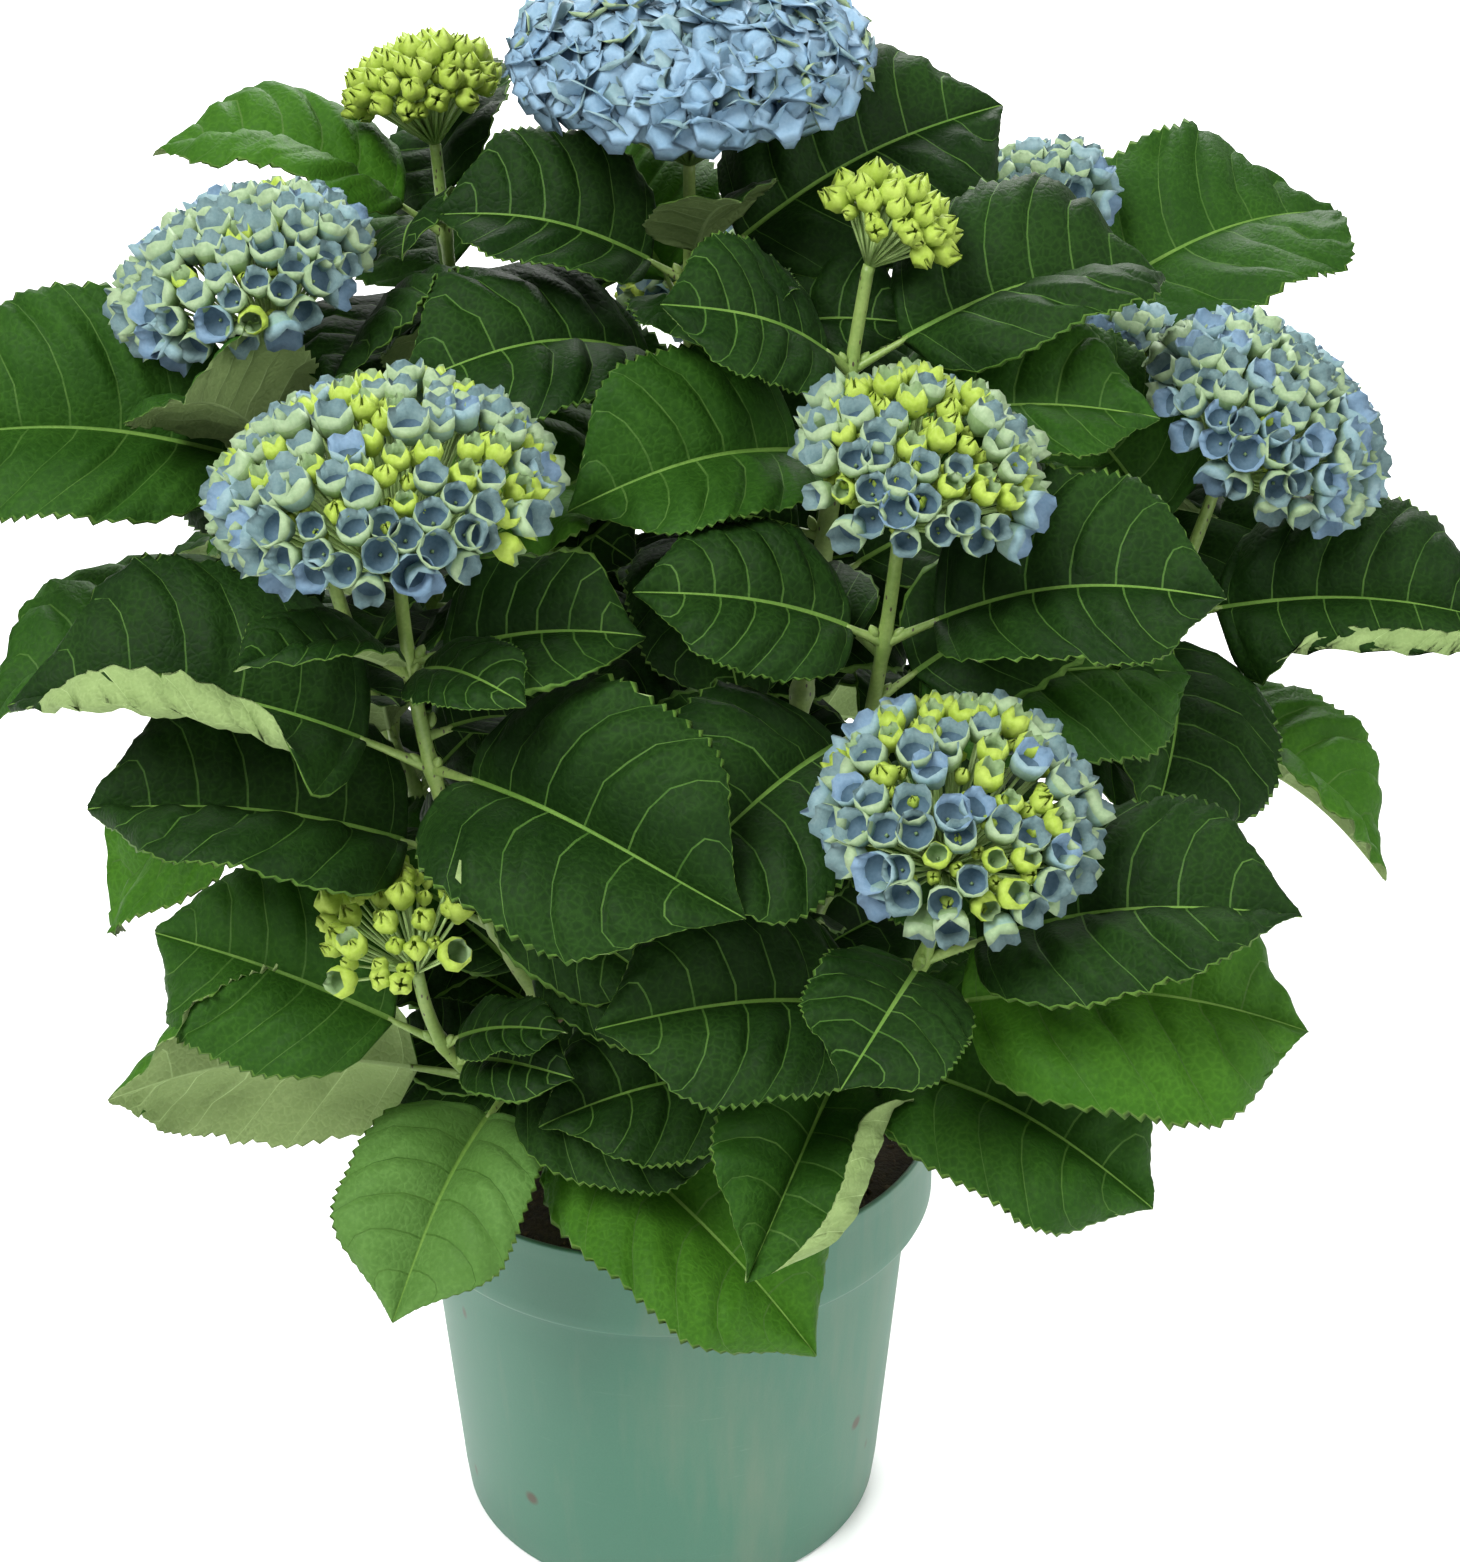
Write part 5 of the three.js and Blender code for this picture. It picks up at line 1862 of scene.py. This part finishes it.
class HeadTree(GrowTree):
    """Geometry Nodes that deal florets over a low dome, each on its own thin stalk."""

    NAME = "flower_head"
    INPUTS = {
        "Geometry": "Geometry", "Count": "Int", "Seed": "Int",
        **dict.fromkeys((
            "Radius", "Rise", "Drop", "End", "Openness", "Gradient", "Patches", "Scatter", "Upright",
            "Floret Size", "Hub Depth",
        ), "Float"),
        "Florets": "Collection", "Stalk": "Object", "Stalk Finish": "Material",
    }
    YOUNG_COUNT = 1.1
    YOUNG_RADIUS = 0.9
    YOUNG_TURN = 2.3
    YOUNG_STAGE = 0.60

    def _wire(self) -> Value:
        """Lays and links the nodes: the florets first, then the young buds that stand between them.

        Returns:
            The finished head.
        """
        bench, given = self.bench, self.given
        joined = bench.put("GeometryNodeJoinGeometry")
        young = given["Count"] * self.YOUNG_COUNT
        sunk = given["Radius"] * self.YOUNG_RADIUS
        for count, radius, fresh in ((given["Count"], given["Radius"], False), (young, sunk, True)):
            points, place, leaning, share = self._dome(count, radius, self.YOUNG_TURN if fresh else 0.0)
            florets, chosen = self._florets(points, leaning, share, fresh)
            bench.feed(joined.node, {0: florets})
            bench.feed(joined.node, {0: self._stalks(points, place, chosen)})
        real = bench.put("GeometryNodeRealizeInstances", {"Geometry": joined})
        thin = bench.put("GeometryNodeInputNamedAttribute", {"Name": "is_stalk"}, data_type="FLOAT")
        return bench.put("GeometryNodeSetMaterial", {
            "Geometry": real, "Selection": bench.math("GREATER_THAN", thin, 0.5),
            "Material": given["Stalk Finish"],
        })

    def _dome(self, count: Value, radius: Value, phase: float) -> tuple[Value, Value, Value, Value]:
        """Spreads points evenly over the dome.

        Args:
            count: how many points.
            radius: the dome's radius.
            phase: a turn that sets these points between others, in radians.

        Returns:
            The points, the field of their places, of the directions they face, and of their shares
            of the way from the middle of the dome to its edge.
        """
        bench, given = self.bench, self.given
        line = bench.put("GeometryNodeMeshLine", {"Count": count})
        index = bench.put("GeometryNodeInputIndex")
        share = (index + 0.5) / count
        cosine = 1.0 - share * (1.0 - given["End"])
        level = bench.math("SQRT", 1.0 - cosine * cosine)
        turn = index * GOLDEN_ANGLE + phase
        flat = given["Drop"] + bench.math("GREATER_THAN", cosine, 0.0) * (given["Rise"] - given["Drop"])
        x = level * bench.math("COSINE", turn)
        y = level * bench.math("SINE", turn)
        seat = bench.vector("SCALE", bench.xyz(x, y, cosine * flat), radius)
        jitter = bench.random(given["Seed"], (-1.0, -1.0, -1.0), (1.0, 1.0, 1.0))
        place = bench.vector("ADD", seat, bench.vector("SCALE", jitter, given["Scatter"]))
        points = bench.put("GeometryNodeSetPosition", {"Geometry": line, "Position": place})
        square = bench.vector("NORMALIZE", bench.xyz(x, y, cosine / flat))
        raised = bench.vector("ADD", square, bench.xyz(0.0, 0.0, given["Upright"]))
        wobble = bench.random(given["Seed"] + 7.0, (-0.26, -0.26, -0.20), (0.26, 0.26, 0.20))
        return points, place, bench.vector("ADD", raised, wobble), share

    def _florets(self, points: Value, leaning: Value, share: Value, fresh: bool) -> tuple[Value, Value]:
        """Puts a floret on each point, more open towards the rim and in patches.

        Args:
            points: the dome's points.
            leaning: the direction each floret faces.
            share: how far each point is from the middle of the dome.
            fresh: whether these are young buds, which stand only where few florets have opened.

        Returns:
            The florets as instances, and the field of the points that have one.
        """
        bench, given = self.bench, self.given
        place = bench.put("GeometryNodeInputPosition")
        cloud = bench.noise(bench.vector("ADD", place, bench.xyz(given["Seed"], 0.0, 0.0)), 62.0, 1.5)
        patch = (cloud - 0.5) * (given["Patches"] * 3.2)
        chance = (bench.random(given["Seed"] + 3.0) - 0.5) * 0.34
        stage = given["Openness"] + share * given["Gradient"] + (patch + chance)
        kept = bench.math("LESS_THAN", stage, self.YOUNG_STAGE if fresh else 9.0)
        ripe = bench.math("MAXIMUM", stage * (0.0 if fresh else 1.0), 0.0)
        kind = bench.math("FLOOR", bench.math("MINIMUM", ripe, 0.999) * float(len(CUPS)))
        aligned = bench.put("FunctionNodeAlignRotationToVector", {"Vector": leaning}, axis="Z")
        angle = bench.random(given["Seed"] + 11.0) * (2 * math.pi)
        own = bench.put("FunctionNodeAxisAngleToRotation", {"Axis": tuple(UP), "Angle": angle})
        inputs = {"Rotation": aligned, "Rotate By": own}
        turned = bench.put("FunctionNodeRotateRotation", inputs, rotation_space="LOCAL")
        swell = bench.random(given["Seed"] + 19.0) * 0.26 + (0.50 if fresh else 0.87)
        inputs = {"Collection": given["Florets"], "Separate Children": True, "Reset Children": True}
        placed = bench.put("GeometryNodeInstanceOnPoints", {
            "Points": points, "Selection": kept, "Instance": bench.put("GeometryNodeCollectionInfo", inputs),
            "Pick Instance": True, "Instance Index": kind, "Rotation": turned,
            "Scale": swell * given["Floret Size"],
        })
        return placed, kept

    def _stalks(self, points: Value, place: Value, chosen: Value) -> Value:
        """Runs a thin stalk from the hub under the dome to each chosen point.

        Args:
            points: the dome's points.
            place: the field of their places.
            chosen: the field of the points that have a floret.

        Returns:
            The stalks as instances.
        """
        bench = self.bench
        reach = bench.vector("SUBTRACT", place, bench.xyz(0.0, 0.0, self.given["Hub Depth"] * -1.0))
        return bench.put("GeometryNodeInstanceOnPoints", {
            "Points": points, "Selection": chosen,
            "Instance": bench.put("GeometryNodeObjectInfo", {"Object": self.given["Stalk"]}, "Geometry"),
            "Rotation": bench.put("FunctionNodeAlignRotationToVector", {"Vector": reach}, axis="Z"),
            "Scale": bench.xyz(1.0, 1.0, bench.vector("LENGTH", reach)),
        })


@dataclass
class FlowerHeads:
    """Every flower head of the plant."""

    stalk_radius: float = 0.55
    floret_depth: float = 10.5
    overlap: float = 1.155
    covered: float = 0.95
    seed: int = 40
    groups: tuple[tuple[str, tuple[str, ...]], ...] = (
        ("florets_left", ("crown", "top_left", "left", "front_left", "low_left", "back_left")),
        ("florets_right", (
            "front_right", "right", "right_back", "low_right", "inner_right", "back_right", "back",
        )),
    )

    def _kinds(
        self, name: str, forms: Sequence[CupForm | FloretForm], palette: Palette
    ) -> bpy.types.Collection:
        """A collection of floret templates.

        Args:
            name: the collection's name.
            forms: the kinds, from closed to open.
            palette: the finishes.

        Returns:
            The collection, which is removed once the heads are made.
        """
        shelf = bpy.data.collections.new(name)
        bpy.context.scene.collection.children.link(shelf)
        for form in forms:
            stock = Stock()
            form.add(stock)
            mesh = stock.mesh(form.name, palette.materials(SEPALS))
            shelf.objects.link(bpy.data.objects.new(form.name, mesh))
        return shelf

    def _stalk(self, palette: Palette) -> bpy.types.Object:
        """A stalk of unit length that ends at the origin, marked so that the tree can find it."""
        stock = Stock()
        points = UP * np.array([[-1 / MM], [0.0]])
        stock.add(*tube(points, np.array([self.stalk_radius * 1.25, self.stalk_radius]), 4), 0)
        mesh = stock.mesh("floret_stalk", palette.materials(["pedicel"]))
        mark = mesh.attributes.new("is_stalk", "FLOAT", "POINT")
        mark.data.foreach_set("value", np.ones(len(mesh.vertices), np.float32))
        return link_item("floret_stalk", mesh)

    def _head(
        self, tree: HeadTree, line: ShootLine, templates: dict[str, Any], number: int
    ) -> bpy.types.Mesh:
        """Makes one head's mesh in its place.

        Args:
            tree: the Geometry Nodes.
            line: the head's shoot.
            templates: its florets, its stalk and the stalk's finish.
            number: the head's number, which seeds it.

        Returns:
            A plain mesh.
        """
        style = STYLES[line.plan.bloom]
        radius = line.plan.width / 2 - self.floret_depth * style.size
        area = 2 * math.pi * radius**2 * (1 - style.end) * self.covered
        mesh = tree.grow(bpy.data.meshes.new("head_base"), {
            "Count": round(area / style.spacing**2 * self.overlap),
            "Seed": self.seed + number,
            "Radius": radius * MM,
            "Drop": GROWTH.head_drop,
            "Scatter": style.scatter * MM,
            "Floret Size": style.size,
            "Hub Depth": GROWTH.under_head * line.plan.width * MM,
            **{name.title(): getattr(style, name) for name in style.PASSED_ON},
            **templates,
        })
        turn = Vector(UP).rotation_difference(Vector(line.face)).to_matrix().to_4x4()
        mesh.transform(Matrix.Translation(Vector(line.head) * MM) @ turn)
        return mesh

    def build(self, lines: Sequence[ShootLine], palette: Palette) -> None:
        """Makes the heads' pieces.

        Args:
            lines: all the shoots' lines.
            palette: the finishes.
        """
        tree = HeadTree()
        shelves = {
            False: self._kinds("cup_florets", CUPS, palette),
            True: self._kinds("wide_florets", WIDE, palette),
        }
        stalk = self._stalk(palette)
        shared = {"Stalk": stalk, "Stalk Finish": palette.material("pedicel")}
        by_name = {line.plan.name: (number, line) for number, line in enumerate(lines)}
        for name, shoots in self.groups:
            parts = []
            for shoot in shoots:
                number, line = by_name[shoot]
                florets = shelves[STYLES[line.plan.bloom].wide]
                parts.append(self._head(tree, line, {"Florets": florets, **shared}, number))
            put_piece(join_meshes(name, parts))
        for shelf in shelves.values():
            for item in list(shelf.objects):
                bpy.data.objects.remove(item)
            bpy.data.collections.remove(shelf)
        bpy.data.objects.remove(stalk)


# ---------------------------------------- pot and potting mix


@dataclass
class Pot:
    """The nursery pot: a tapering body, a slanted shoulder and a deep collar, in millimetres."""

    foot_radius: float = 92.0
    foot_round: float = 2.6
    hollow: float = 1.2
    body_radius: float = 104.7
    body_height: float = 149.5
    shoulder: float = 6.5
    rim_radius: float = 115.0
    height: float = 193.0
    wall: float = 2.2
    floor: float = 3.0
    bead: float = 1.1
    sides: int = 160

    def _outside(self) -> list[tuple[float, float]]:
        """The outer profile, from the edge of the hollow under the pot up to the rim."""
        foot, body, rim = self.foot_radius, self.body_radius, self.rim_radius
        turn, level = self.body_height, self.body_height + self.shoulder
        low = foot + 1.4
        return [
            (foot - 14, self.hollow), (foot - 11, 0.0), (foot - 2, 0.0),
            *self._round((foot - 2, self.foot_round), self.foot_round, -90, -6, 5),
            *((low + (body - low) * share, 6 + (turn - 8) * share) for share in np.linspace(0.06, 0.9, 7)),
            (body - 0.8, turn - 5), (body - 0.3, turn - 3), (body + 0.3, turn - 1.2), (body + 1.4, turn),
            (rim - 2.6, level - 2.2), (rim - 1.1, level - 1.2), (rim - 0.4, level + 0.4),
            (rim - 0.5, level + 6),
            (rim - 0.2, self.height - 9), (rim - 0.2, self.height - 7), (rim, self.height - 5.6),
            *self._round((rim - self.bead, self.height - self.bead), self.bead, -10, 90, 6),
        ]

    def _inside(self) -> list[tuple[float, float]]:
        """The inner profile, from the rim down to the edge of the floor."""
        level = self.body_height + self.shoulder
        inner = self.rim_radius - self.wall
        return [
            *self._round((inner + 0.5, self.height - 0.6), 0.5, 90, 180, 3),
            (inner - 0.1, self.height - 4), (inner - 0.3, level + 2), (inner - 1.6, level - 0.6),
            (self.body_radius - self.wall, self.body_height - 2),
            (self.foot_radius - 1, self.floor + 6), (self.foot_radius - 4, self.floor),
        ]

    @staticmethod
    def _round(
        centre: tuple[float, float], radius: float, start: float, end: float, steps: int
    ) -> list[tuple[float, float]]:
        """Points on an arc of the profile, from one angle to another."""
        angles = np.radians(np.linspace(start, end, steps))
        return [(centre[0] + radius * math.cos(a), centre[1] + radius * math.sin(a)) for a in angles]

    def build(self, palette: Palette) -> None:
        """Makes the pot's piece.

        Args:
            palette: gives the shared effects.
        """
        profile = np.array(self._outside() + self._inside())
        angles = np.arange(self.sides) * 2 * math.pi / self.sides
        wobble = 1 + 0.0010 * np.sin(2 * angles + 0.7) + 0.0006 * np.sin(3 * angles)
        rings = round_rings(profile[:, :1] * wobble, profile[:, 1:])
        stock = Stock()
        stock.add(*close_rings(rings, UP * self.hollow, UP * self.floor), 0)
        material = PotFinish().build(palette.effects)
        put_piece(stock.mesh("nursery_pot", [material]), ["pot"])


class CrumbTree(GrowTree):
    """Geometry Nodes that strew crumbs over a surface."""

    NAME = "strewn_crumbs"
    INPUTS = {
        "Ground": "Geometry", "Density": "Float", "Smallest": "Float", "Largest": "Float", "Seed": "Int",
        "Crumb": "Object", "Finish": "Material",
    }

    def _wire(self) -> Value:
        """Lays and links the nodes, and gives the crumbs."""
        bench, given = self.bench, self.given
        strewn = bench.put("GeometryNodeDistributePointsOnFaces", {
            "Mesh": given["Ground"], "Density": given["Density"], "Seed": given["Seed"],
        })
        placed = bench.put("GeometryNodeInstanceOnPoints", {
            "Points": strewn,
            "Instance": bench.put("GeometryNodeObjectInfo", {"Object": given["Crumb"]}, "Geometry"),
            "Rotation": bench.random(0, (0.0, 0.0, 0.0), (2 * math.pi,) * 3),
            "Scale": bench.random(0, given["Smallest"], given["Largest"]),
        })
        real = bench.put("GeometryNodeRealizeInstances", {"Geometry": placed})
        return bench.put("GeometryNodeSetMaterial", {"Geometry": real, "Material": given["Finish"]})


@dataclass
class PottingMix:
    """The potting mix in the pot, with its crumbs, in millimetres."""

    radius: float = 111.6
    body_radius: float = 101.4
    body_height: float = 146.0
    foot_radius: float = 88.0
    foot: float = 4.2
    shoulder: float = 158.0
    edge: float = 180.5
    crown: float = 190.0
    clear: float = 34.0
    rings: int = 34
    sides: int = 96
    seed: int = 5
    strewn: tuple[float, float] = (108.0, 33.0)
    strewn_sides: int = 48
    crumbs: tuple[tuple[str, float, float, float], ...] = (
        ("mix_crumb", 20000.0, 0.8, 2.7),
        ("mix_grit", 1500.0, 0.6, 1.3),
    )

    def build(self, palette: Palette) -> None:
        """Makes the mix, uneven on top and higher in the middle, and its crumbs.

        Args:
            palette: the finishes.
        """
        chance = np.random.default_rng(self.seed)
        radius = np.linspace(self.radius, 1.5, self.rings)
        share = np.clip((radius - self.clear) / (self.radius - self.clear), 0, 1)
        height = self.crown - (self.crown - self.edge) * share**1.3
        height = height[:, None] + chance.normal(0, 0.55, (self.rings, self.sides))
        low = np.array([
            [self.foot_radius, self.foot], [self.body_radius, self.body_height], [self.radius, self.shoulder],
        ])
        heights = np.concatenate([np.repeat(low[:, 1:], self.sides, 1), height])
        radii = np.repeat(np.concatenate([low[:, 0], radius])[:, None], self.sides, 1)
        stock = Stock()
        stock.add(*close_rings(round_rings(radii, heights), UP * self.foot, UP * self.crown), 0)
        put_piece(stock.mesh("mix_surface", palette.materials(["mix_dark"])), ["potting_mix"])
        self._crumbs(palette)

    def _crumbs(self, palette: Palette) -> None:
        """Strews bark crumbs and pale grit over the mix.

        Args:
            palette: the finishes.
        """
        tree = CrumbTree()
        crumb = self._crumb(palette)
        ground = Stock()
        radii = np.repeat(np.array(self.strewn)[:, None], self.strewn_sides, 1)
        rings = round_rings(radii, np.array([[self.edge + 0.6], [self.crown + 0.4]]))
        ground.add(rings, sheet_faces(2, self.strewn_sides, closed=True), 0)
        parts = [
            tree.grow(ground.mesh("crumb_base", []), {
                "Density": density, "Smallest": small, "Largest": large, "Seed": self.seed + number,
                "Crumb": crumb, "Finish": palette.material(finish),
            })
            for number, (finish, density, small, large) in enumerate(self.crumbs)
        ]
        bpy.data.objects.remove(crumb)
        put_piece(join_meshes("mix_crumbs", parts))

    def _crumb(self, palette: Palette) -> bpy.types.Object:
        """One angular crumb, a millimetre or so across."""
        chance = np.random.default_rng(self.seed)
        share = np.linspace(0, 1, 4)
        points = np.stack([0.2 * np.sin(3 * share), 0.1 * share, (share - 0.5) * 2.4], -1)
        radii = 0.75 * np.sin(math.pi * (0.18 + 0.64 * share))[:, None] * chance.uniform(0.7, 1.25, (4, 5))
        stock = Stock()
        stock.add(*tube(points, radii, 5, flat=0.6), 0)
        return link_item("crumb", stock.mesh("crumb", palette.materials(["mix_crumb"])))


# ---------------------------------------- stage


@dataclass
class Studio:
    """A pale floor, soft light and the camera. Lengths are metres."""

    camera_place: Triple = (0.027, -1.0086, 0.8497)
    camera_pitch: float = 26.52
    lens: float = 64.02
    sensor: float = 36.0
    floor_half: float = 30.0
    floor_tone: Colour = (0.94, 0.94, 0.94)
    sky_tone: Colour = (1.0, 1.0, 1.0)
    sky_strength: float = 0.42
    lamps: tuple[tuple[str, Triple, float, float], ...] = (
        ("key", (-1.3, -1.7, 2.8), 1.5, 135),
        ("fill", (2.2, -1.5, 1.9), 2.2, 58),
        ("back", (0.3, 4.4, 3.6), 3.2, 420),
    )
    lit_point: Triple = (0, 0, 0.35)

    def build(self) -> None:
        """Puts up the stage: the camera, the floor, an even sky and soft square lamps that face the plant."""
        scene = bpy.context.scene
        lens = bpy.data.cameras.new("camera")
        lens.lens = self.lens
        lens.sensor_fit = "VERTICAL"
        lens.sensor_height = self.sensor
        lens.sensor_width = self.sensor
        lens.clip_end = 100
        camera = link_item("camera", lens)
        camera.location = self.camera_place
        camera.rotation_euler = (math.radians(90 - self.camera_pitch), 0, 0)
        scene.camera = camera
        scene.view_settings.view_transform = "Standard"
        self._floor()
        scene.world = bpy.data.worlds.new("studio")
        scene.world.use_nodes = True
        tree = scene.world.node_tree
        Bench(tree).feed(tree.nodes["Background"], {"Color": self.sky_tone, "Strength": self.sky_strength})
        for name, place, size, power in self.lamps:
            light = bpy.data.lights.new(name, "AREA")
            light.size = size
            light.energy = power
            lamp = link_item(name, light)
            lamp.location = place
            lamp.rotation_euler = (Vector(self.lit_point) - Vector(place)).to_track_quat("-Z", "Y").to_euler()

    def _floor(self) -> None:
        """Lays the floor."""
        half = self.floor_half
        corners = [(-half, -half, 0), (half, -half, 0), (half, half, 0), (-half, half, 0)]
        mesh = bpy.data.meshes.new("floor")
        mesh.from_pydata(corners, [], [(0, 1, 2, 3)])
        material, bench = new_material("floor_pale")
        shader = material.node_tree.nodes["Principled BSDF"]
        bench.feed(shader, {"Base Color": self.floor_tone, "Roughness": 0.9})
        mesh.materials.append(material)
        floor = link_item("floor", mesh)


def main() -> None:
    """Builds every sub-assembly in order."""
    logging.basicConfig(level=logging.INFO, format="%(message)s")
    Studio().build()
    palette = Palette()
    lines = [ShootLine(plan) for plan in SHOOTS]
    placed = grow_leaves(lines)
    inner = Filling().grow(lines, placed)
    LOG.info("leaves of the plan: %d, inner leaves: %d", len(placed), len(inner))
    Pot().build(palette)
    PottingMix().build(palette)
    Stems().build(lines, placed + inner, palette)
    Foliage().build(placed, inner, palette)
    FlowerHeads().build(lines, palette)


if __name__ == "__main__":
    main()
